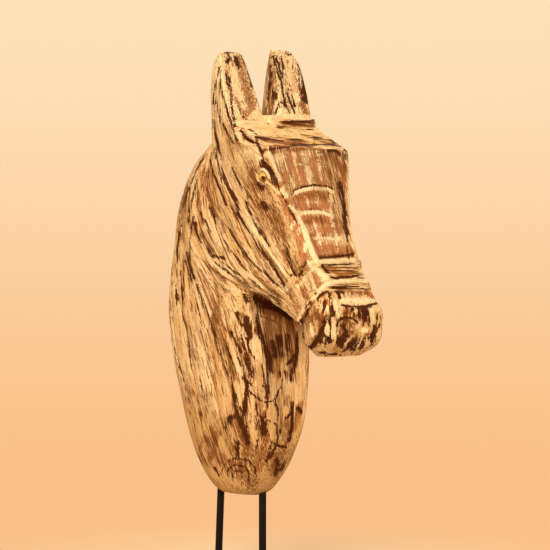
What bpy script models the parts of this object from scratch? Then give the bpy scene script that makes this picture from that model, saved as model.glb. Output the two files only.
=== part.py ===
# Carved wooden horse head on a two-rod steel stand.
# Metres, +Z up. +X is the way the face points and +Y is the horse's left.
# The origin is the centre of the base plate's underside.

import math

import bmesh
import bpy
import numpy as np
from mathutils import Matrix, Vector

# Sizes of the carving. Its shape is written below in shares of these: X and Z as
# shares of the height, from the middle of the rods and the foot of the neck, and Y as
# a share of half the board.
CARVING_HEIGHT = 0.594
BOARD_THICKNESS = 0.148  # the glued board that the head is cut from, side to side
LOCK_DEPTH = 0.0034  # how deep the gouge runs between two locks of the mane
JAW_CUT_DEPTH = 0.0045  # the cut that frees the jaw from the neck
JAW_CUT_WIDTH = 0.0040
PANEL_RECESS = 0.0022  # the forehead panel lies this far below its rim
PANEL_RIM = 0.0060  # width of that rim
BEAD_HEIGHT = 0.0026  # the two carved beads of the noseband
BEAD_WIDTH = 0.0042
EAR_HOLLOW = 0.0045
LID_HEIGHT = 0.0026  # the carved lids around each eye
LID_LENGTH = 0.040
LID_OPENING = 0.0095  # from the middle of the eye to each lid
LID_SLANT = math.radians(-30)  # the front corner of the eye is the lower one
NOSTRIL_DEPTH = 0.0070
NOSTRIL_RADIUS = 0.0050
MOUTH_DEPTH = 0.0030
MOUTH_WIDTH = 0.0024
FINEST_CUT = 0.0030  # voxel size of the roughed-out block
HEAD_TRIANGLES = 8000  # faces left on the carving

# Sizes of the eyes
EYE_RADIUS = 0.0066
EYE_DOME = 0.0042  # how far the cabochon stands out of its socket
EYE_SEAT = 0.0060  # depth of the socket
EYE_TURN = math.radians(16)  # from straight sideways towards the front

# Sizes of the stand
STAND_HEIGHT = 0.140  # floor to the foot of the neck
ROD_RADIUS = 0.0050
ROD_SPACING = 0.086  # between the rods at the foot of the neck
ROD_SOCKET = 0.060  # how far each rod runs up into the wood
REAR_ROD_LEAN = math.radians(3.2)  # the rear rod's foot is set back
PLATE_LENGTH = 0.270
PLATE_WIDTH = 0.160
PLATE_THICKNESS = 0.008
PLATE_CORNER = 0.008
PLATE_EDGE = 0.0010
WELD_SIZE = 0.0032
ROD_LINE_X = -0.020  # the middle between the rods, set back on the plate
GAP = 0.0003  # clearance between touching pieces
ROUND_SIDES = 28

# The neck in side view and from the front, from its foot up.
NECK_REAR = (
    (0.000, -0.056),
    (0.011, -0.073),
    (0.032, -0.092),
    (0.064, -0.114),
    (0.110, -0.136),
    (0.254, -0.179),
    (0.345, -0.200),
    (0.438, -0.206),
    (0.529, -0.190),
    (0.684, -0.147),
    (0.747, -0.101),
    (0.788, -0.045),
    (0.842, 0.034),
)
NECK_FRONT = (
    (0.000, 0.066),
    (0.011, 0.085),
    (0.032, 0.104),
    (0.064, 0.128),
    (0.110, 0.152),
    (0.168, 0.173),
    (0.254, 0.182),
    (0.529, 0.172),
    (0.747, 0.126),
    (0.842, 0.092),
)
NECK_HALF = (
    (0.000, 0.27),
    (0.011, 0.37),
    (0.064, 0.58),
    (0.168, 0.78),
    (0.345, 0.93),
    (0.529, 0.95),
    (0.684, 0.91),
    (0.788, 0.76),
    (0.842, 0.55),
)
# The front of the neck is planed to a flat that deepens to a hollow below the jaw.
THROAT = (
    (0.030, 0.110),
    (0.110, 0.144),
    (0.200, 0.154),
    (0.270, 0.150),
    (0.345, 0.141),
    (0.400, 0.124),
    (0.470, 0.112),
    (0.620, 0.130),
)
NECK_SQUARENESS = 2.25  # 2 is an ellipse

# The face from the muzzle's underside up: the corner of the forehead panel, the edge
# of the chamfer beside it, the cheek and the jaw's lower edge.
FACE_FOOT, FACE_TOP = 0.321, 0.833
PANEL_X = (
    (0.321, 0.335),
    (0.345, 0.366),
    (0.389, 0.374),
    (0.421, 0.373),
    (0.444, 0.362),
    (0.475, 0.349),
    (0.520, 0.322),
    (0.608, 0.277),
    (0.769, 0.221),
)
ROOF_START, ROOF_SLOPE = 0.771, 1.74  # above the panel the brow runs back to the ears
PANEL_Y = (
    (0.321, 0.37),
    (0.345, 0.56),
    (0.389, 0.615),
    (0.421, 0.60),
    (0.444, 0.53),
    (0.475, 0.45),
    (0.539, 0.49),
    (0.608, 0.61),
    (0.672, 0.775),
    (0.769, 0.985),
    (0.833, 0.95),
)
CHAMFER_BACK = ((0.321, 0.012), (0.520, 0.022), (0.769, 0.020), (0.833, 0.004))
CHAMFER_OUT = ((0.321, 0.01), (0.389, 0.03), (0.475, 0.13), (0.608, 0.17), (0.769, 0.01), (0.833, 0.01))
CHEEK_X = (
    (0.321, 0.300),
    (0.345, 0.284),
    (0.421, 0.275),
    (0.475, 0.259),
    (0.539, 0.210),
    (0.608, 0.155),
    (0.672, 0.111),
    (0.755, 0.067),
    (0.833, 0.067),
)
CHEEK_Y = ((0.321, 0.38), (0.345, 0.57), (0.389, 0.62), (0.475, 0.80), (0.539, 0.90), (0.672, 0.97), (0.833, 0.98))
JAW_X = (
    (0.321, 0.299),
    (0.389, 0.276),
    (0.421, 0.226),
    (0.444, 0.185),
    (0.475, 0.130),
    (0.539, 0.020),
    (0.608, -0.030),
    (0.707, -0.030),
    (0.769, 0.020),
    (0.833, 0.038),
)
JAW_Y = ((0.321, 0.37), (0.345, 0.56), (0.389, 0.61), (0.421, 0.71), (0.475, 0.92), (0.520, 0.95), (0.707, 0.86), (0.833, 0.80))

# An ear in side view and from the front, from its root up.
EAR_ROOT = 0.775
RIGHT_EAR_TIP, LEFT_EAR_TIP = 0.990, 1.008  # the right ear was left a little shorter
EAR_REAR = ((0.0, 0.030), (0.4, 0.034), (0.8, 0.037), (1.0, 0.044))
EAR_FRONT = ((0.0, 0.118), (0.27, 0.110), (0.6, 0.089), (0.9, 0.066), (1.0, 0.055))
EAR_INNER = ((0.0, 0.12), (0.32, 0.18), (1.0, 0.37))
EAR_OUTER = ((0.0, 0.97), (0.25, 0.99), (0.6, 1.01), (0.9, 0.93), (1.0, 0.82))
EAR_SQUARENESS = 7.0

# The stepped forelock between the ears, as heights and fronts of its two layers.
FORELOCK = ((0.800, 0.135), (0.826, 0.131), (0.830, 0.121), (0.849, 0.119))
FORELOCK_ENDS = (-0.25, 0.97)

# Guide lines of the carving in side view, as height and X. The first is the spine and
# the last is the rim of the panel. Locks lie between them, and the mane ends at the
# third and the cheek at the fifth.
NECK_GUIDE = ((0.10, 0.060), (0.294, 0.010), (0.438, -0.040), (0.573, -0.070), (0.70, -0.090), (0.842, 0.010))
MANE_GUIDE = ((0.10, 0.155), (0.27, 0.140), (0.385, 0.112), (0.439, 0.085), (0.505, 0.025), (0.566, -0.038), (0.70, -0.068), (0.842, 0.020))
JAW_GUIDE = ((0.384, 0.270), (0.434, 0.217), (0.466, 0.116), (0.494, 0.048), (0.561, -0.022), (0.607, -0.050), (0.70, -0.050), (0.842, 0.030))
CHEEK_GUIDE = ((0.36, 0.310), (0.443, 0.278), (0.509, 0.233), (0.595, 0.180), (0.691, 0.101), (0.747, 0.070), (0.842, 0.050))
RIM_GUIDE = ((0.36, 0.400), (0.484, 0.336), (0.568, 0.290), (0.702, 0.241), (0.842, 0.150))
GUIDES = (NECK_GUIDE, MANE_GUIDE, JAW_GUIDE, CHEEK_GUIDE, RIM_GUIDE)
LOCKS_BETWEEN = (5, 4, 1, 5, 1)  # locks from each guide line to the next
SHARE_Y = BOARD_THICKNESS / 2 / CARVING_HEIGHT  # a share of half the board, in shares of the height

# The noseband's two beads: height across the nose, X where each turns down, and slope.
BEADS = ((0.523, 0.320, 0.90, 0.255), (0.477, 0.350, 1.09, 0.262))
EYE_PLACE = (0.205, 0.704)  # X and height of the eye
NOSTRIL_PLACE = (0.362, 0.368)
MOUTH_ENDS = ((0.285, 0.345), (0.352, 0.385))


def make_material(name, colour, roughness, metallic):
    material = bpy.data.materials.new(name)
    material.use_nodes = True
    shader = material.node_tree.nodes["Principled BSDF"]
    shader.inputs["Base Color"].default_value = (*colour, 1.0)
    shader.inputs["Roughness"].default_value = roughness
    shader.inputs["Metallic"].default_value = metallic
    return material


def add_object(name, mesh, material=None):
    obj = bpy.data.objects.new(name, mesh)
    bpy.context.scene.collection.objects.link(obj)
    if material is not None:
        mesh.materials.append(material)
    return obj


def mesh_from(name, bm):
    bmesh.ops.recalc_face_normals(bm, faces=bm.faces)
    mesh = bpy.data.meshes.new(name)
    bm.to_mesh(mesh)
    bm.free()
    return mesh


def curve(points, at):
    """A smooth curve through (place, value) points, level beyond its ends."""
    z, v = np.array(points, float).T
    steps = np.diff(v) / np.diff(z)
    slopes = np.concatenate([steps[:1], (steps[:-1] + steps[1:]) / 2, steps[-1:]])
    at = np.clip(at, z[0], z[-1])
    k = np.clip(np.searchsorted(z, at, side="right") - 1, 0, len(z) - 2)
    span = z[k + 1] - z[k]
    f = (at - z[k]) / span
    return (
        (2 * f**3 - 3 * f**2 + 1) * v[k]
        + (f**3 - 2 * f**2 + f) * span * slopes[k]
        + (3 * f**2 - 2 * f**3) * v[k + 1]
        + (f**3 - f**2) * span * slopes[k + 1]
    )


def ramp(value, start, end):
    """0 at start and 1 at end, eased at both."""
    f = np.clip((value - start) / (end - start), 0, 1)
    return f * f * (3 - 2 * f)


def place(shares):
    """Shares of the carving to metres."""
    size = (CARVING_HEIGHT, BOARD_THICKNESS / 2, CARVING_HEIGHT)
    return np.asarray(shares, float) * size + (ROD_LINE_X, 0.0, STAND_HEIGHT)


def shares_of(points):
    size = (CARVING_HEIGHT, BOARD_THICKNESS / 2, CARVING_HEIGHT)
    return (points - (ROD_LINE_X, 0.0, STAND_HEIGHT)) / size


def add_loft(bm, rings):
    """Skins a stack of closed rings and caps its two ends."""
    loops = []
    for ring in rings:
        verts = [bm.verts.new(p) for p in place(ring)]
        loops.append([bm.edges.new(pair) for pair in zip(verts, verts[1:] + verts[:1])])
    for lower, upper in zip(loops, loops[1:]):
        bmesh.ops.bridge_loops(bm, edges=lower + upper)
    for end in (loops[0], loops[-1]):
        bmesh.ops.contextual_create(bm, geom=end)


def rounded_ring(x_range, y_range, z, squareness, sides=56):
    """A level ring between two limits in X and in Y, from ellipse to near rectangle."""
    turn = np.linspace(0, 2 * math.pi, sides, endpoint=False)
    c, s = np.cos(turn), np.sin(turn)
    unit = [np.sign(v) * np.abs(v) ** (2 / squareness) for v in (c, s)]
    x, y = (
        (high + low) / 2 + (high - low) / 2 * v
        for (low, high), v in zip((x_range, y_range), unit)
    )
    return np.stack([x, y, np.full(sides, z)], axis=1)


def neck_rings(count=70):
    for z in np.linspace(NECK_REAR[0][0], NECK_REAR[-1][0], count):
        half = curve(NECK_HALF, z)
        ends = (curve(NECK_REAR, z), curve(NECK_FRONT, z))
        ring = rounded_ring(ends, (-half, half), z, NECK_SQUARENESS)
        ring[:, 0] = np.minimum(ring[:, 0], curve(THROAT, z) + 0.02 * ring[:, 1] ** 2)
        yield ring


def face_rings(count=110):
    for z in np.linspace(FACE_FOOT, FACE_TOP, count):
        panel_x, panel_y = curve(PANEL_X, z), curve(PANEL_Y, z)
        panel_x -= max(0.0, z - ROOF_START) * ROOF_SLOPE
        half = [
            (panel_x + 0.002, 0.0),
            (panel_x + 0.0015, panel_y / 2),
            (panel_x, panel_y),
            (panel_x - curve(CHAMFER_BACK, z), panel_y + curve(CHAMFER_OUT, z)),
            (curve(CHEEK_X, z), curve(CHEEK_Y, z)),
            (curve(JAW_X, z), curve(JAW_Y, z)),
            (curve(JAW_X, z) - 0.01, 0.0),
        ]
        other = [(x, -y) for x, y in reversed(half[1:-1])]
        yield [(x, y, z) for x, y in half + other]


def ear_rings(side, tip, count=30):
    for f in np.linspace(0, 1, count):
        y_range = sorted((side * curve(EAR_INNER, f), side * curve(EAR_OUTER, f)))
        x_range = (curve(EAR_REAR, f), curve(EAR_FRONT, f))
        z = EAR_ROOT + (tip - EAR_ROOT) * f
        yield rounded_ring(x_range, y_range, z, EAR_SQUARENESS, 32)


def forelock_rings():
    right, left = FORELOCK_ENDS
    for z, front in FORELOCK:
        corner = (front - 0.03, right, z)
        yield [(0.05, left, z), (front, left, z), (front, right + 0.12, z), corner, (0.05, right, z)]


def rough_block():
    """The overlapping lofts, fused into one skin and evened out."""
    bm = bmesh.new()
    lofts = [neck_rings(), face_rings(), forelock_rings()]
    lofts += [ear_rings(1, LEFT_EAR_TIP), ear_rings(-1, RIGHT_EAR_TIP)]
    for rings in lofts:
        add_loft(bm, list(rings))
    block = add_object("rough_block", mesh_from("rough_block", bm))
    remesh = block.modifiers.new("Fuse", "REMESH")
    remesh.mode = "VOXEL"
    remesh.voxel_size = FINEST_CUT
    even = block.modifiers.new("Even", "SMOOTH")
    even.factor = 0.5
    even.iterations = 2
    return block


def applied(obj, name):
    """The object's mesh with its modifiers applied. The object is removed."""
    graph = bpy.context.evaluated_depsgraph_get()
    mesh = bpy.data.meshes.new_from_object(obj.evaluated_get(graph))
    mesh.name = name
    bpy.data.objects.remove(obj)
    return mesh


def lock_number(x, y, z):
    """Counts the locks from the spine forward, whole at the cuts between, and their width."""
    half = curve(NECK_HALF, z)
    behind = ramp(x, 0.06, -0.02) * np.maximum(0, 0.85 * half - y) * SHARE_Y
    spine = curve(NECK_REAR, z) - 0.85 * half * SHARE_Y
    lines = [spine] + [curve(guide, z) for guide in GUIDES]
    lock, width = np.zeros_like(x), np.zeros_like(x)
    for count, guide, low, high in zip(LOCKS_BETWEEN, GUIDES, lines, lines[1:]):
        f = (x - behind - low) / np.maximum(high - low, 0.004)
        lock += count * np.clip(f, 0, 1)
        lean = (curve(guide, z + 0.01) - curve(guide, z - 0.01)) / 0.02
        gap = (high - low) / count / np.hypot(1, lean)
        width += np.where((f >= 0) & (f < 1), gap, 0)
    return lock, width * CARVING_HEIGHT


def carve_depth(points, normals):
    """How far the gouge goes in at each point, in metres. Raised work is negative."""
    x, y, z = shares_of(points).T
    y = np.abs(y)
    side = ramp(np.abs(normals[:, 1]) + np.maximum(0, -normals[:, 0]), 0.35, 0.75)
    depth = np.zeros_like(x)

    # Locks of the mane and of the cheek
    lock, width = lock_number(x, y, z)
    wander = 0.16 * np.sin(23 * z + 2.3 * np.round(lock)) * ramp(z, 0.95, 0.7)
    near = 1 - 2 * np.abs(lock + wander - np.round(lock + wander))
    mane_end, jaw, cheek_end = np.cumsum(LOCKS_BETWEEN)[[1, 2, 3]]
    on_mane = ramp(lock, mane_end + 0.4, mane_end - 0.2) * ramp(z, 0.14, 0.28)
    on_cheek = ramp(lock, jaw - 0.4, jaw + 0.1) * ramp(lock, cheek_end + 0.3, cheek_end)
    on_cheek *= ramp(z, 0.80, 0.74) * ramp(x, 0.30, 0.26)
    wide = ramp(width, 0.004, 0.011)
    depth += LOCK_DEPTH * side * wide * np.maximum(on_mane, on_cheek) * near**3

    # The cut under the jaw
    line = curve(JAW_GUIDE, z)
    lean = (curve(JAW_GUIDE, z + 0.01) - line) / 0.01
    off_jaw = (x - line) / np.hypot(1, lean) * CARVING_HEIGHT
    along = ramp(z, 0.62, 0.56) * ramp(x, 0.22, 0.16)
    depth += JAW_CUT_DEPTH * side * along * np.exp(-((off_jaw / JAW_CUT_WIDTH) ** 2))

    # The forehead panel, sunk inside its rim
    inside = curve(PANEL_Y, z) - y
    rim = PANEL_RIM / (BOARD_THICKNESS / 2)
    facing = ramp(normals[:, 0], 0.45, 0.7) * ramp(x, 0.20, 0.21)
    tall = ramp(z, 0.525, 0.54) * ramp(z, 0.765, 0.755)
    depth += PANEL_RECESS * facing * tall * ramp(inside, rim * 0.7, rim * 1.3)

    # The noseband's beads
    for height, turn, slope, end in BEADS:
        line = height - slope * np.maximum(0, turn - x)
        off = (z - line) * CARVING_HEIGHT / np.where(x < turn, math.hypot(1, slope), 1)
        on_nose = ramp(x, end, end + 0.01) * ramp(z, 0.37, 0.39)
        depth -= BEAD_HEIGHT * on_nose * np.exp(-((off / BEAD_WIDTH) ** 2))

    # Hollows of the ears, open to the front
    f = (z - EAR_ROOT) / (1 - EAR_ROOT)
    middle = (curve(EAR_INNER, f) + curve(EAR_OUTER, f)) / 2
    reach = (curve(EAR_OUTER, f) - curve(EAR_INNER, f)) / 2
    bowl = np.clip(1 - ((y - middle) / reach) ** 2, 0, 1)
    tall = ramp(f, 0.35, 0.5) * ramp(f, 0.97, 0.85)
    depth += EAR_HOLLOW * bowl * tall * ramp(normals[:, 0], 0.3, 0.7)

    # Lids, nostrils and mouth
    flat = np.stack([x, z], axis=1) * CARVING_HEIGHT
    across = flat - np.array(EYE_PLACE) * CARVING_HEIGHT
    across = across @ np.array(Matrix.Rotation(LID_SLANT, 2))
    opening = LID_OPENING * (1 - (across[:, 0] / (LID_LENGTH / 2)) ** 2)
    off_lid = np.where(opening > 0, np.abs(across[:, 1]) - opening, 1.0)
    depth -= LID_HEIGHT * side * np.exp(-((off_lid / 0.0022) ** 2))
    off_nostril = np.linalg.norm(flat - np.array(NOSTRIL_PLACE) * CARVING_HEIGHT, axis=1)
    depth += NOSTRIL_DEPTH * side * np.exp(-((off_nostril / NOSTRIL_RADIUS) ** 2))
    corner, lip = np.array(MOUTH_ENDS) * CARVING_HEIGHT
    share = np.clip((flat - corner) @ (lip - corner) / np.sum((lip - corner) ** 2), 0, 1)
    off_mouth = np.linalg.norm(flat - corner - share[:, None] * (lip - corner), axis=1)
    depth += MOUTH_DEPTH * side * np.exp(-((off_mouth / MOUTH_WIDTH) ** 2))
    return depth


def turned(profile, name):
    """A solid of revolution about Z from (radius, height) points."""
    bm = bmesh.new()
    edges = []
    verts = [bm.verts.new((r, 0, h)) for r, h in profile]
    for pair in zip(verts, verts[1:]):
        edges.append(bm.edges.new(pair))
    bmesh.ops.spin(
        bm, geom=verts + edges, axis=(0, 0, 1), cent=(0, 0, 0), angle=2 * math.pi, steps=ROUND_SIDES
    )
    bmesh.ops.remove_doubles(bm, verts=bm.verts, dist=1e-6)
    return mesh_from(name, bm)


def cylinder(radius, low, high, name):
    return turned(((0, low), (radius, low), (radius, high), (0, high)), name)


def cut_with(body, cutter_mesh, where):
    """Cuts a hidden helper out of the body and applies the cut."""
    cutter = add_object("cutter", cutter_mesh)
    cutter.matrix_world = where
    cutter.hide_render = True
    cut = body.modifiers.new("Cut", "BOOLEAN")
    cut.operation = "DIFFERENCE"
    cut.solver = "EXACT"
    cut.object = cutter
    bpy.context.view_layer.update()
    graph = bpy.context.evaluated_depsgraph_get()
    mesh = bpy.data.meshes.new_from_object(body.evaluated_get(graph))
    body.modifiers.clear()
    old, body.data = body.data, mesh
    bpy.data.meshes.remove(old)
    bpy.data.objects.remove(cutter)


def carve_head(material):
    """Rough block, gouge work, then as few faces as keep the carving."""
    mesh = applied(rough_block(), "horse_head")
    points = np.empty(len(mesh.vertices) * 3)
    normals = np.empty_like(points)
    mesh.vertices.foreach_get("co", points)
    mesh.vertices.foreach_get("normal", normals)
    points, normals = points.reshape(-1, 3), normals.reshape(-1, 3)
    points -= normals * carve_depth(points, normals)[:, None]
    mesh.vertices.foreach_set("co", points.ravel())
    mesh.update()
    head = add_object("horse_head", mesh, material)
    fewer = head.modifiers.new("Fewer faces", "DECIMATE")
    fewer.ratio = HEAD_TRIANGLES / (2 * len(mesh.polygons))
    fewer.use_collapse_triangulate = True
    bpy.context.view_layer.update()
    carved = applied(head, "horse_head")
    return add_object("horse_head", carved)


def eye_matrix(head, side):
    """Where the eye's button sits on the carved surface, its Z axis pointing out."""
    out = Vector((math.sin(EYE_TURN), side * math.cos(EYE_TURN), 0.0))
    beside = Vector(place((EYE_PLACE[0], side * 1.5, EYE_PLACE[1])))
    hit, spot, _, _ = head.ray_cast(beside, Vector((0, -side, 0)))
    if not hit:
        raise RuntimeError("the eye's place misses the head")
    return Matrix.Translation(spot) @ out.to_track_quat("Z", "Y").to_matrix().to_4x4()


def add_eye(head, side, name, material):
    where = eye_matrix(head, side)
    socket = cylinder(EYE_RADIUS + GAP, -EYE_SEAT, 0.02, "socket")
    cut_with(head, socket, where)
    bulge = np.linspace(0, math.pi / 2, 6)
    dome = [(EYE_RADIUS * math.cos(a), EYE_DOME * math.sin(a) - 0.0008) for a in bulge]
    profile = [(0, -EYE_SEAT + GAP), (EYE_RADIUS, -EYE_SEAT + GAP)] + dome[:-1] + [(0, dome[-1][1])]
    mesh = turned(profile, name)
    mesh.transform(where)
    return add_object(name, mesh, material)


def add_rod(head, side, lean, name, material):
    """A rod from the plate up into a blind socket in the foot of the neck."""
    entry = Vector((ROD_LINE_X + side * ROD_SPACING / 2, 0, STAND_HEIGHT))
    up = Vector((math.sin(lean), 0, math.cos(lean)))
    where = Matrix.Translation(entry) @ up.to_track_quat("Z", "Y").to_matrix().to_4x4()
    cut_with(head, cylinder(ROD_RADIUS + GAP, -0.05, ROD_SOCKET + GAP, "bore"), where)
    length = (STAND_HEIGHT - PLATE_THICKNESS) / math.cos(lean)
    foot = -length + ROD_RADIUS * math.tan(lean) + GAP
    weld = ROD_RADIUS + WELD_SIZE
    mesh = turned(
        (
            (0, foot),
            (weld, foot),
            (weld - 0.0008, foot + WELD_SIZE * 0.5),
            (ROD_RADIUS, foot + WELD_SIZE),
            (ROD_RADIUS, ROD_SOCKET - 0.0008),
            (ROD_RADIUS - 0.0008, ROD_SOCKET),
            (0, ROD_SOCKET),
        ),
        name,
    )
    mesh.transform(where)
    # The foot is cut level, to stand flat on the plate
    bm = bmesh.new()
    bm.from_mesh(mesh)
    for vert in bm.verts:
        if vert.co.z < PLATE_THICKNESS + WELD_SIZE * 0.4:
            vert.co.z = PLATE_THICKNESS + GAP
    bm.to_mesh(mesh)
    bm.free()
    return add_object(name, mesh, material)


def add_plate(material):
    bm = bmesh.new()
    bmesh.ops.create_cube(bm, size=1)
    bmesh.ops.scale(bm, vec=(PLATE_LENGTH, PLATE_WIDTH, PLATE_THICKNESS), verts=bm.verts)
    bmesh.ops.translate(bm, vec=(0, 0, PLATE_THICKNESS / 2), verts=bm.verts)
    upright = [e for e in bm.edges if abs(e.verts[0].co.z - e.verts[1].co.z) > 0.001]
    bmesh.ops.bevel(bm, geom=upright, offset=PLATE_CORNER, segments=6, affect="EDGES", profile=0.5)
    rims = [
        e for e in bm.edges if e.verts[0].co.z == e.verts[1].co.z and len(e.link_faces) == 2
        and any(abs(f.normal.z) > 0.9 for f in e.link_faces)
        and any(abs(f.normal.z) < 0.1 for f in e.link_faces)
    ]
    bmesh.ops.bevel(bm, geom=rims, offset=PLATE_EDGE, segments=1, affect="EDGES")
    return add_object("base_plate", mesh_from("base_plate", bm), material)


for old_object in list(bpy.data.objects):
    bpy.data.objects.remove(old_object)

limed_wood = make_material("limed_wood", (0.62, 0.46, 0.28), 0.72, 0.0)
amber_glass = make_material("amber_glass", (0.45, 0.20, 0.03), 0.08, 0.0)
black_steel = make_material("black_steel", (0.025, 0.024, 0.023), 0.55, 0.0)

horse_head = carve_head(limed_wood)
add_eye(horse_head, 1, "eye_left", amber_glass)
add_eye(horse_head, -1, "eye_right", amber_glass)
add_rod(horse_head, 1, 0.0, "rod_front", black_steel)
add_rod(horse_head, -1, REAR_ROD_LEAN, "rod_rear", black_steel)
add_plate(black_steel)
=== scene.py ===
# Carved and limed wooden horse head on two steel rods, dressed for rendering.
import math

import bmesh
import bpy
import numpy as np
from mathutils import Matrix, Vector


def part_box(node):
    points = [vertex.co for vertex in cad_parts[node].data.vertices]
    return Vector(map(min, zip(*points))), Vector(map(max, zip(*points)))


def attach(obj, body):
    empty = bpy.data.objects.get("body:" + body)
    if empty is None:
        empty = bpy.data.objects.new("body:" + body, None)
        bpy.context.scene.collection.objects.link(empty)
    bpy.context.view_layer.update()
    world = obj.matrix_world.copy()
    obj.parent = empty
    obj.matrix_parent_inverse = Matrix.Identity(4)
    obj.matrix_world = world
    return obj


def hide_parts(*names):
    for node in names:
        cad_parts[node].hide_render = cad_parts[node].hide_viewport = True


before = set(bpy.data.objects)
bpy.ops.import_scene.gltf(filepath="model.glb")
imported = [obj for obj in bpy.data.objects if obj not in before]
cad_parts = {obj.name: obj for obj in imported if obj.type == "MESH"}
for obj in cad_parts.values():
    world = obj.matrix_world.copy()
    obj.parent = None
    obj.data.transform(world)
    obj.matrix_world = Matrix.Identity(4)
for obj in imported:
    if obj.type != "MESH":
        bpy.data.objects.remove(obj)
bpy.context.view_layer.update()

# The block
# The head and neck are bandsawn from one block of glued boards, then rasped round.
# Outlines are shares of the carving's height (X and Z) and of half its thickness (Y),
# measured from the middle between the rods at the foot of the neck.

CARVING_HEIGHT = 0.594
BOARD_THICKNESS = 0.148
STAND_HEIGHT = 0.140
ROD_LINE_X = -0.020
BLOCK_VOXEL = 0.00150
HEAD_TRIANGLES = 196000
SHARE = np.array((CARVING_HEIGHT, BOARD_THICKNESS / 2, CARVING_HEIGHT))
FOOT = np.array((ROD_LINE_X, 0.0, STAND_HEIGHT))

NECK_REAR = (
    (0.000, -0.056), (0.011, -0.073), (0.032, -0.092), (0.064, -0.114), (0.110, -0.136),
    (0.254, -0.179), (0.345, -0.200), (0.438, -0.206), (0.529, -0.190), (0.684, -0.147),
    (0.747, -0.101), (0.788, -0.045), (0.842, 0.034),
)
NECK_FRONT = (
    (0.000, 0.066), (0.011, 0.085), (0.032, 0.104), (0.064, 0.128), (0.110, 0.152),
    (0.168, 0.173), (0.254, 0.182), (0.529, 0.172), (0.747, 0.126), (0.842, 0.092),
)
NECK_HALF = (
    (0.000, 0.27), (0.011, 0.37), (0.064, 0.58), (0.168, 0.78), (0.345, 0.93),
    (0.529, 0.95), (0.684, 0.91), (0.788, 0.76), (0.842, 0.55),
)
THROAT = (
    (0.030, 0.110), (0.110, 0.144), (0.200, 0.154), (0.270, 0.150), (0.345, 0.141),
    (0.400, 0.124), (0.470, 0.112), (0.620, 0.130),
)
NECK_SQUARENESS = 2.25

FACE_FOOT, FACE_TOP = 0.321, 0.833
PANEL_X = (
    (0.321, 0.335), (0.345, 0.366), (0.389, 0.374), (0.421, 0.373), (0.444, 0.362),
    (0.475, 0.349), (0.520, 0.322), (0.608, 0.277), (0.769, 0.221),
)
ROOF_START, ROOF_SLOPE = 0.771, 1.74
PANEL_Y = (
    (0.321, 0.37), (0.345, 0.56), (0.389, 0.615), (0.421, 0.60), (0.444, 0.53),
    (0.475, 0.45), (0.539, 0.49), (0.608, 0.61), (0.672, 0.775), (0.769, 0.985), (0.833, 0.95),
)
CHAMFER_BACK = ((0.321, 0.012), (0.520, 0.022), (0.769, 0.020), (0.833, 0.004))
CHAMFER_OUT = (
    (0.321, 0.01), (0.389, 0.03), (0.475, 0.13), (0.608, 0.17), (0.769, 0.01), (0.833, 0.01),
)
CHEEK_X = (
    (0.321, 0.300), (0.345, 0.284), (0.421, 0.275), (0.475, 0.259), (0.539, 0.210),
    (0.608, 0.155), (0.672, 0.111), (0.755, 0.067), (0.833, 0.067),
)
CHEEK_Y = (
    (0.321, 0.38), (0.345, 0.57), (0.389, 0.62), (0.475, 0.80), (0.539, 0.90),
    (0.672, 0.97), (0.833, 0.98),
)
JAW_X = (
    (0.321, 0.299), (0.389, 0.276), (0.421, 0.226), (0.444, 0.185), (0.475, 0.130),
    (0.539, 0.020), (0.608, -0.030), (0.707, -0.030), (0.769, 0.020), (0.833, 0.038),
)
JAW_Y = (
    (0.321, 0.37), (0.345, 0.56), (0.389, 0.61), (0.421, 0.71), (0.475, 0.92),
    (0.520, 0.95), (0.707, 0.86), (0.833, 0.80),
)

EAR_ROOT = 0.775
RIGHT_EAR_TIP, LEFT_EAR_TIP = 0.990, 1.008
EAR_REAR = ((0.0, 0.030), (0.4, 0.034), (0.8, 0.037), (1.0, 0.044))
EAR_FRONT = ((0.0, 0.118), (0.27, 0.110), (0.6, 0.089), (0.9, 0.066), (1.0, 0.055))
EAR_INNER = ((0.0, 0.12), (0.32, 0.18), (1.0, 0.37))
EAR_OUTER = ((0.0, 0.97), (0.25, 0.99), (0.6, 1.01), (0.9, 0.93), (1.0, 0.82))
EAR_SQUARENESS = 7.0
PANEL_CROWN, JAW_TUCK, THROAT_CURL = (0.002, 0.0015), 0.01, 0.02

FORELOCK = ((0.800, 0.135), (0.826, 0.131), (0.830, 0.121), (0.849, 0.119))
FORELOCK_ENDS = (-0.25, 0.97)
FORELOCK_BACK, CORNER_BACK, CORNER_IN = 0.05, 0.03, 0.12


def curve(points, at):
    """A smooth curve through (place, value) points, level beyond its ends."""
    z, v = np.array(points, float).T
    steps = np.diff(v) / np.diff(z)
    slopes = np.concatenate([steps[:1], (steps[:-1] + steps[1:]) / 2, steps[-1:]])
    at = np.clip(at, z[0], z[-1])
    k = np.clip(np.searchsorted(z, at, side="right") - 1, 0, len(z) - 2)
    span = z[k + 1] - z[k]
    f = (at - z[k]) / span
    return (
        (2 * f**3 - 3 * f**2 + 1) * v[k]
        + (f**3 - 2 * f**2 + f) * span * slopes[k]
        + (3 * f**2 - 2 * f**3) * v[k + 1]
        + (f**3 - f**2) * span * slopes[k + 1]
    )


def ramp(value, start, end):
    """0 at start and 1 at end, eased at both."""
    f = np.clip((value - start) / (end - start), 0, 1)
    return f * f * (3 - 2 * f)


def add_loft(bm, rings):
    """Skins a stack of closed rings and caps its two ends."""
    loops = []
    for ring in rings:
        verts = [bm.verts.new(p) for p in np.asarray(ring, float) * SHARE + FOOT]
        loops.append([bm.edges.new(pair) for pair in zip(verts, verts[1:] + verts[:1])])
    for lower, upper in zip(loops, loops[1:]):
        bmesh.ops.bridge_loops(bm, edges=lower + upper)
    for end in (loops[0], loops[-1]):
        bmesh.ops.contextual_create(bm, geom=end)


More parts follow.
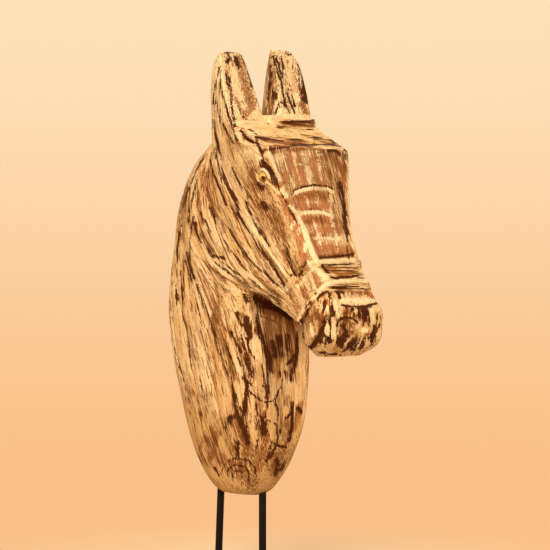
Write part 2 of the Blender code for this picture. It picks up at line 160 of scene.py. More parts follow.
def rounded_ring(x_range, y_range, z, squareness, sides=72):
    """A level ring between two limits in X and in Y, from ellipse to near rectangle."""
    turn = np.linspace(0, 2 * math.pi, sides, endpoint=False)
    unit = [np.sign(v) * np.abs(v) ** (2 / squareness) for v in (np.cos(turn), np.sin(turn))]
    x, y = (
        (high + low) / 2 + (high - low) / 2 * v
        for (low, high), v in zip((x_range, y_range), unit)
    )
    return np.stack([x, y, np.full(sides, z)], axis=1)


def neck_rings(count=110):
    for z in np.linspace(NECK_REAR[0][0], NECK_REAR[-1][0], count):
        half = curve(NECK_HALF, z)
        ends = (curve(NECK_REAR, z), curve(NECK_FRONT, z))
        ring = rounded_ring(ends, (-half, half), z, NECK_SQUARENESS)
        ring[:, 0] = np.minimum(ring[:, 0], curve(THROAT, z) + THROAT_CURL * ring[:, 1] ** 2)
        yield ring


def face_rings(count=220):
    for z in np.linspace(FACE_FOOT, FACE_TOP, count):
        panel_x = curve(PANEL_X, z) - max(0.0, z - ROOF_START) * ROOF_SLOPE
        panel_y = curve(PANEL_Y, z)
        half = [
            (panel_x + PANEL_CROWN[0], 0.0),
            (panel_x + PANEL_CROWN[1], panel_y / 2),
            (panel_x, panel_y),
            (panel_x - curve(CHAMFER_BACK, z), panel_y + curve(CHAMFER_OUT, z)),
            (curve(CHEEK_X, z), curve(CHEEK_Y, z)),
            (curve(JAW_X, z), curve(JAW_Y, z)),
            (curve(JAW_X, z) - JAW_TUCK, 0.0),
        ]
        other = [(x, -y) for x, y in reversed(half[1:-1])]
        yield [(x, y, z) for x, y in half + other]


def ear_rings(side, tip, count=60):
    for f in np.linspace(0, 1, count):
        y_range = sorted((side * curve(EAR_INNER, f), side * curve(EAR_OUTER, f)))
        x_range = (curve(EAR_REAR, f), curve(EAR_FRONT, f))
        yield rounded_ring(x_range, y_range, EAR_ROOT + (tip - EAR_ROOT) * f, EAR_SQUARENESS, 40)


def forelock_rings():
    right, left = FORELOCK_ENDS
    for z, front in FORELOCK:
        corner = [(front, right + CORNER_IN, z), (front - CORNER_BACK, right, z)]
        yield [(FORELOCK_BACK, left, z), (front, left, z), *corner, (FORELOCK_BACK, right, z)]


def finished(bm, name):
    """The bmesh as a mesh. The bmesh is freed."""
    mesh = bpy.data.meshes.new(name)
    bm.to_mesh(mesh)
    bm.free()
    return mesh


def put(name, data):
    """Adds an object for a mesh, a lamp or a camera."""
    obj = bpy.data.objects.new(name, data)
    bpy.context.scene.collection.objects.link(obj)
    return obj


def applied(obj):
    """The object's mesh with its modifiers applied. The object is removed."""
    graph = bpy.context.evaluated_depsgraph_get()
    mesh = bpy.data.meshes.new_from_object(obj.evaluated_get(graph))
    bpy.data.objects.remove(obj)
    return mesh


def add_piece(name, mesh, node):
    """A finished piece that stands for one CAD node and rides with it."""
    piece = put(name, mesh)
    mesh.shade_smooth()
    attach(piece, "root")
    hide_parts(node)


block = bmesh.new()
for rings in (
    neck_rings(), face_rings(), forelock_rings(),
    ear_rings(1, LEFT_EAR_TIP), ear_rings(-1, RIGHT_EAR_TIP),
):
    add_loft(block, list(rings))
bmesh.ops.recalc_face_normals(block, faces=block.faces)
block_object = put("block", finished(block, "block"))
fuse = block_object.modifiers.new("Fuse", "REMESH")
fuse.mode = "VOXEL"
fuse.voxel_size = BLOCK_VOXEL
even = block_object.modifiers.new("Even", "SMOOTH")
even.factor = 0.5
even.iterations = 2
head_mesh = applied(block_object)

# Gouge work
# Mane, cheek and jaw are cut with a V gouge along guide lines from the poll. The
# forehead is a planed panel inside a rim, the noseband two beads left standing.

LOCK_DEPTH, LOCK_WANDER, FINE_DEPTH = 0.0034, 0.16, 0.0009
JAW_CUT_DEPTH, JAW_CUT_WIDTH = 0.0045, 0.0040
PANEL_RECESS, PANEL_RIM = 0.0013, 0.0060
BEAD_HEIGHT, BEAD_WIDTH = 0.0026, 0.0034
GROOVE_DEPTH, GROOVE_WIDTH, GROOVE_PLACE = 0.0008, 0.0018, 2.1 * BEAD_WIDTH
EAR_HOLLOW = 0.0045
LID_HEIGHT, LID_WIDTH = 0.0020, 0.0020
LID_LENGTH, LID_OPENING, LID_SLANT = 0.036, 0.0080, math.radians(-34)

NECK_GUIDE = (
    (0.10, 0.060), (0.294, 0.010), (0.438, -0.040), (0.573, -0.070), (0.70, -0.090), (0.842, 0.010),
)
MANE_GUIDE = (
    (0.10, 0.155), (0.27, 0.140), (0.385, 0.112), (0.439, 0.085), (0.505, 0.025),
    (0.566, -0.038), (0.70, -0.068), (0.842, 0.020),
)
JAW_GUIDE = (
    (0.384, 0.270), (0.434, 0.217), (0.466, 0.116), (0.494, 0.048), (0.561, -0.022),
    (0.607, -0.050), (0.70, -0.050), (0.842, 0.030),
)
CHEEK_GUIDE = (
    (0.36, 0.310), (0.443, 0.278), (0.509, 0.233), (0.595, 0.180), (0.691, 0.101),
    (0.747, 0.070), (0.842, 0.050),
)
RIM_GUIDE = ((0.36, 0.400), (0.484, 0.336), (0.568, 0.290), (0.702, 0.241), (0.842, 0.150))
GUIDES = (NECK_GUIDE, MANE_GUIDE, JAW_GUIDE, CHEEK_GUIDE, RIM_GUIDE)
LOCKS_BETWEEN = (5, 4, 1, 5, 1)
MANE_END, JAW_LOCK, CHEEK_END = (int(n) for n in np.cumsum(LOCKS_BETWEEN)[[1, 2, 3]])
SHARE_Y = SHARE[1] / SHARE[0]
SPINE_SHARE = 0.85
# Each bead's height in front, where it turns down the cheek, how steeply, and its end
BEADS = ((0.523, 0.320, 0.90, 0.255), (0.477, 0.350, 1.09, 0.262))
EYE_PLACE = (0.205, 0.704)


def lock_number(x, y, z, counts=LOCKS_BETWEEN):
    """Counts the locks from the spine forward, whole at the cuts between, and their width."""
    half = curve(NECK_HALF, z)
    behind = ramp(x, 0.06, -0.02) * np.maximum(0, SPINE_SHARE * half - y) * SHARE_Y
    spine = curve(NECK_REAR, z) - SPINE_SHARE * half * SHARE_Y
    lines = [spine] + [curve(guide, z) for guide in GUIDES]
    lock, width = np.zeros_like(x), np.zeros_like(x)
    for count, guide, low, high in zip(counts, GUIDES, lines, lines[1:]):
        f = (x - behind - low) / np.maximum(high - low, 0.004)
        lock += count * np.clip(f, 0, 1)
        lean = (curve(guide, z + 0.01) - curve(guide, z - 0.01)) / 0.02
        gap = (high - low) / count / np.hypot(1, lean)
        width += np.where((f >= 0) & (f < 1), gap, 0)
    return lock, width * CARVING_HEIGHT


def stroke(flat, path, width, scale, sharp=2):
    """1 along a path of shares on a flat view of the carving, fading out over width."""
    path = np.atleast_2d(np.array(path, float)) * scale
    near = np.full(len(flat), np.inf)
    inside = np.all(
        (flat > path.min(axis=0) - 3 * width) & (flat < path.max(axis=0) + 3 * width), axis=1
    )
    spots = flat[inside]
    best = np.full(len(spots), np.inf)
    for a, b in zip(path, path[1:] if len(path) > 1 else path):
        ab = b - a
        f = np.clip((spots - a) @ ab / max(ab @ ab, 1e-12), 0, 1)
        best = np.minimum(best, np.linalg.norm(spots - a - f[:, None] * ab, axis=1))
    near[inside] = best
    return np.exp(-np.abs(near / width) ** sharp)


def read_surface(mesh):
    points, normals = np.empty((2, len(mesh.vertices) * 3))
    mesh.vertices.foreach_get("co", points)
    mesh.vertices.foreach_get("normal", normals)
    return points.reshape(-1, 3), normals.reshape(-1, 3)


def move_points(mesh, points):
    mesh.vertices.foreach_set("co", points.ravel())
    mesh.update()


# Single gouge strokes on the sides, as (path in X and Z shares, half width, depth).
SIDE_CUTS = (
    (((0.121, 0.788), (0.137, 0.771), (0.17, 0.765), (0.193, 0.749), (0.206, 0.74)), 0.002, 0.0022),
    (((0.142, 0.808), (0.15, 0.788), (0.18, 0.776)), 0.0048, 0.0052),
    (((0.12, 0.806), (0.14, 0.782), (0.172, 0.774)), 0.0022, -0.0012),
    (((0.183, 0.79), (0.189, 0.768), (0.205, 0.75)), 0.0022, 0.002),
    (((0.196, 0.745), (0.218, 0.722), (0.238, 0.7)), 0.0055, 0.0022),
    (((0.063, 0.708), (0.097, 0.669), (0.134, 0.629), (0.173, 0.589), (0.215, 0.543),
     (0.253, 0.5), (0.285, 0.467), (0.3, 0.44)), 0.0022, -0.0022),
    (((-0.036, 0.577), (-0.004, 0.537), (0.048, 0.501), (0.116, 0.47), (0.172, 0.457),
     (0.23, 0.436), (0.27, 0.408)), 0.0022, -0.0016),
    (((0.25, 0.547), (0.262, 0.515), (0.281, 0.492), (0.3, 0.496), (0.312, 0.512)), 0.0018, 0.0012),
    (((0.298, 0.336), (0.325, 0.358), (0.34, 0.379), (0.352, 0.398), (0.366, 0.41)), 0.002, 0.0022),
    (((0.359, 0.357),), 0.005, 0.0075),
    (((0.359, 0.357), (0.347, 0.373), (0.346, 0.39), (0.362, 0.405)), 0.002, 0.0026),
    (((0.362, 0.405), (0.371, 0.388), (0.368, 0.365)), 0.0024, 0.003),
    (((0.361, 0.457), (0.364, 0.442), (0.369, 0.425)), 0.0018, 0.002),
    (((0.118, 0.263), (0.141, 0.242), (0.168, 0.226), (0.194, 0.219)), 0.0011, 0.0014),
)
# The same on the front, as Y and Z shares: stop cuts on the forehead, the planed
# ledge over the nose and cracks down the glued throat.
FRONT_CUTS = (
    (((-0.68, 0.66), (-0.5, 0.676), (-0.28, 0.685), (-0.06, 0.689), (0.13, 0.687), (0.25, 0.681),
     (0.31, 0.672)), 0.0017, 0.0016),
    (((-0.62, 0.619), (-0.43, 0.631), (-0.17, 0.638), (0.06, 0.634), (0.23, 0.626)), 0.0026,
     0.0012),
    (((-0.36, 0.568), (-0.15, 0.573), (0.09, 0.574), (0.21, 0.567)), 0.0017, 0.001),
    (((-0.44, 0.531), (-0.19, 0.532), (0.19, 0.537), (0.42, 0.537)), 0.0024, 0.0016),
    (((-0.3, 0.433), (-0.1, 0.43), (0.22, 0.429), (0.52, 0.434)), 0.002, 0.0018),
    (((-0.41, 0.404), (-0.18, 0.395), (-0.08, 0.391)), 0.0014, 0.001),
    (((0.12, 0.389), (-0.03, 0.284), (-0.1, 0.252), (-0.23, 0.23), (-0.35, 0.218),
     (-0.49, 0.215)), 0.0011, 0.0014),
    (((-0.33, 0.216), (-0.23, 0.193), (-0.22, 0.175)), 0.0011, 0.0012),
)


def carve_depth(points, normals):
    """How far the gouge goes in at each point, in metres. Raised work is negative."""
    x, y, z = ((points - FOOT) / SHARE).T
    front_on = np.stack([y * SHARE[1], z * SHARE[2]], axis=1)
    side_on = np.stack([x, z], axis=1) * CARVING_HEIGHT
    y = np.abs(y)
    side = ramp(np.abs(normals[:, 1]) + np.maximum(0, -normals[:, 0]), 0.35, 0.75)
    facing = ramp(normals[:, 0], 0.45, 0.7)
    depth = np.zeros_like(x)

    lock, width = lock_number(x, y, z)
    wander = LOCK_WANDER * np.sin(23 * z + 2.3 * np.round(lock)) * ramp(z, 0.95, 0.7)
    near = 1 - 2 * np.abs(lock + wander - np.round(lock + wander))
    on_mane = ramp(lock, MANE_END + 0.4, MANE_END - 0.2) * ramp(z, 0.14, 0.28)
    on_cheek = ramp(lock, JAW_LOCK - 0.4, JAW_LOCK + 0.1)
    on_cheek *= ramp(lock, CHEEK_END + 0.3, CHEEK_END) * ramp(z, 0.80, 0.74) * ramp(x, 0.30, 0.26)
    carved = side * np.maximum(on_mane, on_cheek)
    depth += LOCK_DEPTH * carved * ramp(width, 0.004, 0.011) * near**3
    # Two finer lines inside each lock
    third = 3 * lock
    fine = 1 - 2 * np.abs(third + 0.3 * np.sin(31 * z + 5 * np.round(third)) - np.round(third))
    depth += FINE_DEPTH * carved * ramp(width, 0.004, 0.009) * np.clip(fine, 0, 1) ** 3

    line = curve(JAW_GUIDE, z)
    lean = (curve(JAW_GUIDE, z + 0.01) - line) / 0.01
    off_jaw = (x - line) / np.hypot(1, lean) * CARVING_HEIGHT
    along = ramp(z, 0.62, 0.56) * ramp(x, 0.22, 0.16)
    depth += JAW_CUT_DEPTH * side * along * np.exp(-((off_jaw / JAW_CUT_WIDTH) ** 2))

    rim = PANEL_RIM / SHARE[1]
    tall = ramp(z, 0.525, 0.54) * ramp(z, 0.772, 0.769)
    inset = ramp(curve(PANEL_Y, z) - y, rim * 0.7, rim * 1.3)
    depth += PANEL_RECESS * (facing * ramp(x, 0.20, 0.21) * tall * inset)

    for height, turn, slope, end in BEADS:
        bead = height - slope * np.maximum(0, turn - x)
        off = (z - bead) * CARVING_HEIGHT / np.where(x < turn, math.hypot(1, slope), 1)
        on_nose = ramp(x, end, end + 0.01) * ramp(z, 0.37, 0.39)
        depth -= BEAD_HEIGHT * on_nose * np.exp(-((off / BEAD_WIDTH) ** 2))
        off_groove = np.abs(off) - GROOVE_PLACE
        depth += GROOVE_DEPTH * on_nose * np.exp(-((off_groove / GROOVE_WIDTH) ** 2))

    f = (z - EAR_ROOT) / (1 - EAR_ROOT)
    middle = (curve(EAR_INNER, f) + curve(EAR_OUTER, f)) / 2
    reach = (curve(EAR_OUTER, f) - curve(EAR_INNER, f)) / 2
    bowl = EAR_HOLLOW * np.clip(1 - ((y - middle) / reach) ** 2, 0, 1)
    depth += bowl * ramp(f, 0.35, 0.5) * ramp(f, 0.97, 0.85) * ramp(normals[:, 0], 0.3, 0.7)

    slant = np.array(Matrix.Rotation(LID_SLANT, 2))
    across = (side_on - np.array(EYE_PLACE) * CARVING_HEIGHT) @ slant
    opening = LID_OPENING * (1 - (across[:, 0] / (LID_LENGTH / 2)) ** 2)
    off_lid = np.where(opening > 0, np.abs(across[:, 1]) - opening, 1.0)
    depth -= LID_HEIGHT * side * np.exp(-((off_lid / LID_WIDTH) ** 2))

    for path, half_width, deep in SIDE_CUTS:
        depth += side * deep * stroke(side_on, path, half_width, CARVING_HEIGHT)
    for path, half_width, deep in FRONT_CUTS:
        depth += facing * deep * stroke(front_on, path, half_width, SHARE[1:])
    return depth


points, normals = read_surface(head_mesh)
points -= normals * carve_depth(points, normals)[:, None]
low, high = (np.array(corner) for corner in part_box("horse_head"))
move_points(head_mesh, np.clip(points, low, high))

# The paint
# Dark stain first, a cream limewash brushed over it along the gouge cuts, then rubbed
# back by hand. The larger bare places are drawn on a flat sheet that hangs square to
# the view, 550 units wide, and pushed back onto the wood that faces it. Some marks are
# painted light: a painted shadow under the jaw and a painted highlight on the muzzle.

VIEW_AZIMUTH = math.radians(48)
VIEW_DISTANCE = 2.2
VIEW_HEIGHT = 0.4335
VIEW_ASIDE = 0.0454
SHEET_UNITS_A_METRE, SHEET_WIDTH = 1625, 550
toward_view = np.array((math.sin(VIEW_AZIMUTH), -math.cos(VIEW_AZIMUTH), 0))
along_sheet = np.array((math.cos(VIEW_AZIMUTH), math.sin(VIEW_AZIMUTH), 0))
view_centre = np.array((ROD_LINE_X, 0, VIEW_HEIGHT)) + along_sheet * VIEW_ASIDE

MARK_BLEED, MARK_SHARPNESS, MANE_STRENGTH = 0.2, 3, 0.86
# Each mark is its half width and then its path, in sheet units.
MANE_AND_CHEEK = {
    "dark": (
        (1.5, (215, 153), (223, 178), (235, 200), (243, 222), (255, 240), (265, 255), (274, 268),
         (284, 286), (291, 297)),
        (2, (238, 213), (243, 220)), (1.8, (219, 165), (231, 190), (238, 207)),
        (2, (210, 208), (217, 222), (223, 233)), (1.6, (195, 223), (198, 237), (203, 250)),
        (2, (206, 248), (212, 256), (223, 258)),
        (1.2, (205, 155), (195, 173), (187, 193), (183, 207)),
        (0.8, (193, 217), (190, 240), (190, 262)), (2, (187, 253), (190, 266), (194, 278)),
        (0.9, (228, 227), (237, 243), (247, 255)),
        (1.1, (243, 252), (252, 262), (260, 270), (268, 276), (278, 286)),
        (1.6, (215, 263), (230, 273), (247, 285), (257, 292)),
        (2.1, (249, 279), (256, 284), (262, 289)), (2.4, (271, 295), (276, 300), (281, 305)),
        (1.4, (257, 291), (268, 301), (281, 311), (291, 318), (297, 326)),
        (0.5, (180, 270), (182, 293), (183, 315), (187, 332), (190, 353), (192, 377)),
        (0.6, (185, 260), (193, 285), (200, 318), (203, 340), (210, 363)),
        (1, (198, 285), (207, 310), (215, 335), (223, 363), (232, 383), (235, 398)),
        (0.5, (168, 298), (169, 327), (175, 350), (184, 380)),
        (1.6, (201, 213), (206, 222), (212, 232)), (0.7, (181, 225), (178, 245), (177, 262)),
        (1.3, (197, 180), (192, 200), (188, 222)),
        (1.3, (210, 160), (214, 175), (222, 195), (226, 205)),
        (0.9, (222, 262), (232, 270), (240, 275)), (0.8, (224, 240), (232, 252), (240, 262)),
        (3.6, (263, 204), (267, 208)), (2.6, (259, 184), (263, 190)),
        (1.4, (286, 247), (289, 258), (292, 269), (296, 276)),
        (1.2, (299, 276), (303, 270), (306, 262)), (2.2, (298, 322), (300, 327)),
        (1.2, (246, 202), (254, 221), (262, 235), (270, 246)),
        (1.2, (232, 168), (240, 184), (248, 198)), (0.9, (176, 285), (177, 305)),
    ),
    "warm": (
        (3.4, (203, 172), (205, 187), (212, 203), (216, 215)),
        (1.9, (202, 270), (212, 297), (222, 322), (227, 347), (233, 363), (236, 378)),
        (2.4, (198, 200), (201, 213), (203, 223)), (1.7, (187, 185), (182, 207), (178, 223)),
        (2.2, (214, 268), (222, 277), (230, 287)), (3.2, (289, 293), (293, 300), (297, 308)),
        (2.4, (280, 247), (285, 256), (290, 268)), (2.6, (272, 222), (278, 231), (284, 239)),
        (2, (213, 300), (216, 312), (218, 330)), (2, (243, 302), (241, 312), (246, 325)),
    ),
    "haze": (
        (9, (225, 150), (235, 168), (246, 185)), (8, (250, 160), (255, 175), (258, 188)),
        (7, (228, 195), (238, 208), (248, 222)), (9, (258, 194), (268, 214), (278, 236)),
        (7, (272, 222), (280, 240), (286, 254)), (6, (215, 205), (225, 222), (236, 238)),
        (6, (255, 245), (266, 262), (278, 280)), (6, (205, 235), (214, 245), (224, 252)),
        (7, (219, 285), (217, 315), (218, 345)), (6, (190, 325), (193, 345), (198, 365)),
        (7, (183, 375), (189, 393), (197, 412)), (8, (205, 395), (210, 415), (214, 432)),
        (5, (185, 170), (182, 195), (179, 215)), (6, (282, 240), (290, 258), (296, 268)),
    ),
    "cream": (
        (1.2, (219, 155), (228, 178), (240, 199), (250, 222), (262, 240), (274, 258), (286, 276),
         (295, 290), (303, 303)),
        (1.1, (256, 232), (268, 250), (280, 268), (290, 281)),
        (1.6, (196, 238), (206, 256), (221, 271), (241, 285), (258, 294), (276, 306), (290, 316)),
        (2, (298, 286), (305, 278), (312, 270), (318, 265)),
        (1.3, (237, 270), (252, 277), (266, 290)), (1.5, (210, 225), (216, 238), (222, 246)),
        (1.3, (174, 300), (178, 330), (184, 362)), (1.4, (190, 290), (194, 318), (200, 350)),
        (1.3, (203, 310), (212, 340), (222, 372)), (1.1, (186, 355), (194, 385), (204, 410)),
        (2.2, (228, 282), (238, 294), (247, 288)), (1.3, (203, 207), (209, 222), (214, 235)),
        (1.1, (232, 222), (243, 240), (254, 254)), (1, (240, 212), (250, 230), (262, 250)),
    ),
    "brown": (
        (11, (257, 190), (264, 208), (274, 232)), (6, (266, 192), (276, 214), (285, 238)),
        (5, (248, 165), (254, 176), (258, 190)), (4, (206, 170), (210, 195), (216, 215)),
        (5, (270, 215), (277, 228), (283, 240)), (4, (196, 225), (202, 240), (210, 250)),
        (5, (186, 190), (183, 215), (181, 240)), (4, (256, 275), (266, 284), (278, 296)),
        (4, (264, 250), (275, 266), (285, 280)), (4, (284, 245), (292, 262), (300, 276)),
    ),
}
NECK = {
    "dark": (
        (3.4, (235, 396), (238, 408), (242, 418)),
        (0.6, (233, 480), (232, 475), (235, 471), (240, 471), (243, 475), (242, 480)),
        (0.6, (227, 479), (228, 469), (235, 465), (244, 466), (249, 473), (248, 481)),
        (0.6, (221, 474), (225, 463), (235, 458), (248, 460), (255, 468), (256, 477)),
        (0.9, (262, 366), (264, 378), (262, 392)), (0.8, (280, 372), (283, 384), (281, 396)),
        (1.3, (231, 332), (236, 343), (241, 352)), (1.2, (242, 338), (245, 349), (247, 356)),
        (1, (227, 346), (232, 360), (238, 373)), (1.2, (238, 358), (243, 368), (246, 380)),
        (1, (256, 404), (258, 418), (256, 430)), (0.9, (272, 440), (270, 452), (266, 462)),
        (1.2, (280, 430), (276, 446), (270, 458)), (5, (241, 413), (244, 426)),
        (3, (244, 426), (245, 434), (248, 443)), (3, (247, 386), (245, 402), (244, 416)),
        (3.4, (247, 360), (250, 373), (248, 386)),
        (2.4, (237, 313), (240, 323), (247, 331), (251, 336)), (2.8, (245, 296), (248, 301)),
        (2.4, (247, 318), (246, 325), (250, 328)),
        (3.2, (256, 297), (259, 308), (257, 323), (259, 334), (265, 347), (269, 358), (268, 375),
         (267, 397)),
        (4.4, (262, 419), (264, 433)), (1.5, (267, 403), (266, 416)),
        (1.3, (247, 338), (250, 350), (254, 358)), (3.8, (279, 338), (282, 354)),
        (2.8, (273, 342), (275, 356)), (2.4, (287, 336), (288, 350)),
        # The next line's two marks are a painted shadow, cast by the jaw across the top of the
        # throat.
        (3.6, (260, 301), (274, 302), (288, 310)), (2.2, (262, 306), (276, 309), (290, 318)),
        (1.8, (296, 354), (292, 360), (287, 364)), (3.2, (285, 373), (291, 379)),
        (2, (298, 332), (297, 353), (293, 372)), (2, (285, 418), (292, 413), (293, 403)),
        (1.8, (293, 413), (292, 427), (289, 440)), (2.4, (298, 408), (301, 412)),
        (1.2, (273, 443), (279, 446), (286, 447)), (2.3, (277, 460), (278, 467), (275, 475)),
        (3.2, (226, 427), (229, 420), (232, 417)), (2, (238, 442), (237, 458)),
        (1.4, (215, 468), (219, 475)), (0.9, (242, 377), (248, 390), (257, 398), (266, 403)),
        (0.9, (266, 402), (275, 401), (279, 390)), (1, (275, 403), (278, 409), (279, 416)),
        (1.4, (258, 440), (256, 448)), (2, (285, 463), (281, 470)),
        (1.2, (268, 420), (277, 425), (277, 434)),
    ),
    "warm": (
        (3.6, (245, 357), (250, 370), (249, 385)), (2.6, (212, 330), (216, 345), (219, 360)),
        (3.2, (258, 405), (259, 420), (262, 436)), (3.2, (296, 345), (295, 362), (291, 376)),
        (4, (222, 462), (232, 462), (243, 468)), (3, (217, 433), (216, 446), (212, 458)),
        (3.5, (265, 440), (263, 455), (255, 470)), (3, (300, 400), (299, 415), (294, 430)),
        (3, (273, 455), (276, 470)), (2, (222, 365), (228, 378), (233, 392)),
        (3.6, (242, 425), (247, 440), (246, 455)), (2.4, (288, 395), (284, 410), (285, 425)),
    ),
    "haze": (
        (8, (266, 308), (276, 312), (288, 317)), (9, (272, 322), (274, 340), (272, 352)),
        (7, (288, 325), (291, 340), (288, 355)), (9, (262, 368), (266, 384), (262, 398)),
        (4, (284, 380), (284, 395), (280, 410)), (7, (258, 412), (262, 430), (262, 445)),
        (7, (222, 420), (228, 435), (232, 450)), (8, (205, 440), (215, 452), (226, 462)),
        (8, (230, 465), (245, 475), (255, 480)), (6, (240, 432), (250, 445), (256, 455)),
        (4, (278, 395), (280, 412), (282, 432)), (6, (270, 470), (282, 462), (290, 450)),
    ),
    "cream": (
        (3, (303, 312), (302, 345), (302, 380), (301, 398)),
        (1.3, (284, 318), (284, 345), (285, 362)), (3, (240, 385), (241, 396), (240, 403)),
        (3.2, (240, 300), (241, 309)), (3, (259, 368), (258, 385), (262, 393)),
        (2.2, (272, 376), (272, 390), (272, 397)), (3.4, (284, 384), (290, 392)),
        (3, (285, 409), (286, 413)), (2.6, (271, 410), (271, 430), (273, 437)),
        (1.3, (279, 386), (283, 374), (284, 364)), (2.4, (232, 340), (232, 352), (238, 368)),
        (3, (255, 342), (258, 355)), (3, (293, 388), (296, 400)), (3, (222, 440), (224, 450)),
    ),
    "brown": (
        # The next three marks are painted shade in the throat under the jaw, over the throat's own
        # brown streaks.
        (13, (268, 296), (276, 310), (278, 340), (284, 356)),
        (9, (268, 300), (272, 318), (272, 352), (280, 372)),
        (8, (286, 318), (292, 338), (290, 372)), (7, (238, 420), (245, 440), (250, 458)),
        (13, (216, 458), (240, 464), (266, 456)), (7, (268, 425), (274, 450), (276, 470)),
        (6, (288, 425), (284, 448), (276, 468)), (6, (213, 430), (212, 448), (216, 462)),
        (5, (231, 330), (238, 346), (245, 360)), (3.6, (226, 350), (232, 366), (240, 382)),
        (6, (244, 300), (242, 318), (250, 332)), (4, (214, 318), (221, 342), (229, 370)),
        (8, (232, 448), (238, 470), (250, 484)), (2.4, (215, 427), (213, 440), (209, 453)),
        (2.2, (205, 437), (200, 450), (202, 463), (208, 458), (212, 447)),
        (2.6, (215, 465), (218, 457), (227, 453), (240, 460)),
        (2.4, (263, 445), (260, 455), (254, 462), (249, 467)),
        (1.6, (229, 476), (232, 469), (239, 467), (246, 471), (248, 478), (245, 485)),
        # The second mark on the next line and both on the line after are painted shade under the
        # jaw, too.
        (1.3, (236, 474), (241, 477), (237, 481)), (10, (262, 302), (278, 304), (294, 314)),
        (9, (272, 300), (282, 330), (284, 358)), (6, (274, 345), (278, 366)),
        (6, (220, 424), (226, 432), (224, 446)), (5, (244, 405), (244, 425), (248, 445)),
        (4, (262, 414), (264, 440)),
    ),
}
NEAR_EAR = {
    "dark": (
        (1.8, (228, 53), (230, 58), (227, 62)), (1, (222, 54), (230, 52), (241, 52)),
        (2, (235, 57), (237, 63), (239, 69)), (1.4, (242, 55), (248, 70), (252, 86)),
        (1.5, (226, 75), (230, 81), (231, 90), (228, 85), (226, 77)), (1.2, (222, 86), (223, 91)),
        (1.7, (231, 94), (232, 106), (233, 113), (235, 126)),
        (1, (236, 103), (240, 111), (243, 118)),
        (1.3, (221, 66), (221, 84), (223, 96), (228, 114), (234, 132), (237, 140)),
        (1.3, (216, 101), (219, 111), (220, 122)),
        (1.3, (213, 120), (215, 133), (218, 147), (222, 160)),
        (1.3, (223, 124), (228, 134), (232, 142)), (1, (219, 68), (215, 88), (213, 104)),
    ),
    "warm": (
        (4.6, (239, 60), (242, 75), (247, 90), (251, 104), (250, 113)), (2, (247, 112), (251, 117)),
        (1.6, (226, 70), (229, 80), (231, 92)), (1.8, (236, 98), (240, 108), (246, 116)),
    ),
    "haze": (
        (5, (217, 85), (216, 105), (219, 125)), (4, (243, 68), (248, 88), (252, 104)),
        (6, (223, 125), (228, 138), (236, 150)), (3, (243, 80), (247, 95)),
    ),
    "cream": (
        (2, (222, 60), (223, 75), (224, 88)), (2.4, (234, 72), (235, 88), (240, 98)),
        (2, (250, 118), (256, 112)),
    ),
}
FAR_EAR = {
    "dark": (
        (1.4, (276, 57), (280, 73), (282, 87), (285, 103), (290, 113)),
        (1.2, (273, 57), (276, 67), (280, 79)), (1.2, (281, 56), (283, 67), (282, 78)),
        (1, (287, 93), (292, 107), (295, 113)), (1, (292, 95), (295, 107)),
        (1.6, (286, 52), (289, 55), (294, 54)), (2.2, (294, 53), (299, 57), (302, 66)),
        (4.4, (301, 64), (304, 80), (305, 90), (306, 100)), (1.2, (271, 66), (270, 82), (268, 100)),
        (1, (298, 62), (299, 76), (300, 90)), (1.2, (309, 95), (312, 108), (313, 118)),
        (1.6, (275, 113), (279, 106), (282, 102), (285, 107)), (3, (273, 92), (275, 97)),
    ),
    "warm": (
        (3.2, (302, 95), (303, 106), (307, 114)), (2.4, (272, 84), (273, 100), (270, 108)),
        (1.6, (287, 62), (291, 78), (294, 95)),
    ),
    "haze": ((7, (271, 58), (271, 90), (268, 112)), (3, (292, 70), (296, 90))),
    "cream": ((2.4, (288, 65), (292, 82), (297, 100)), (1, (272, 60), (272, 70))),
    "brown": (
        (7, (271, 58), (269, 90), (266, 114)), (6, (272, 88), (274, 100)),
        (4, (303, 90), (305, 112)),
    ),
}
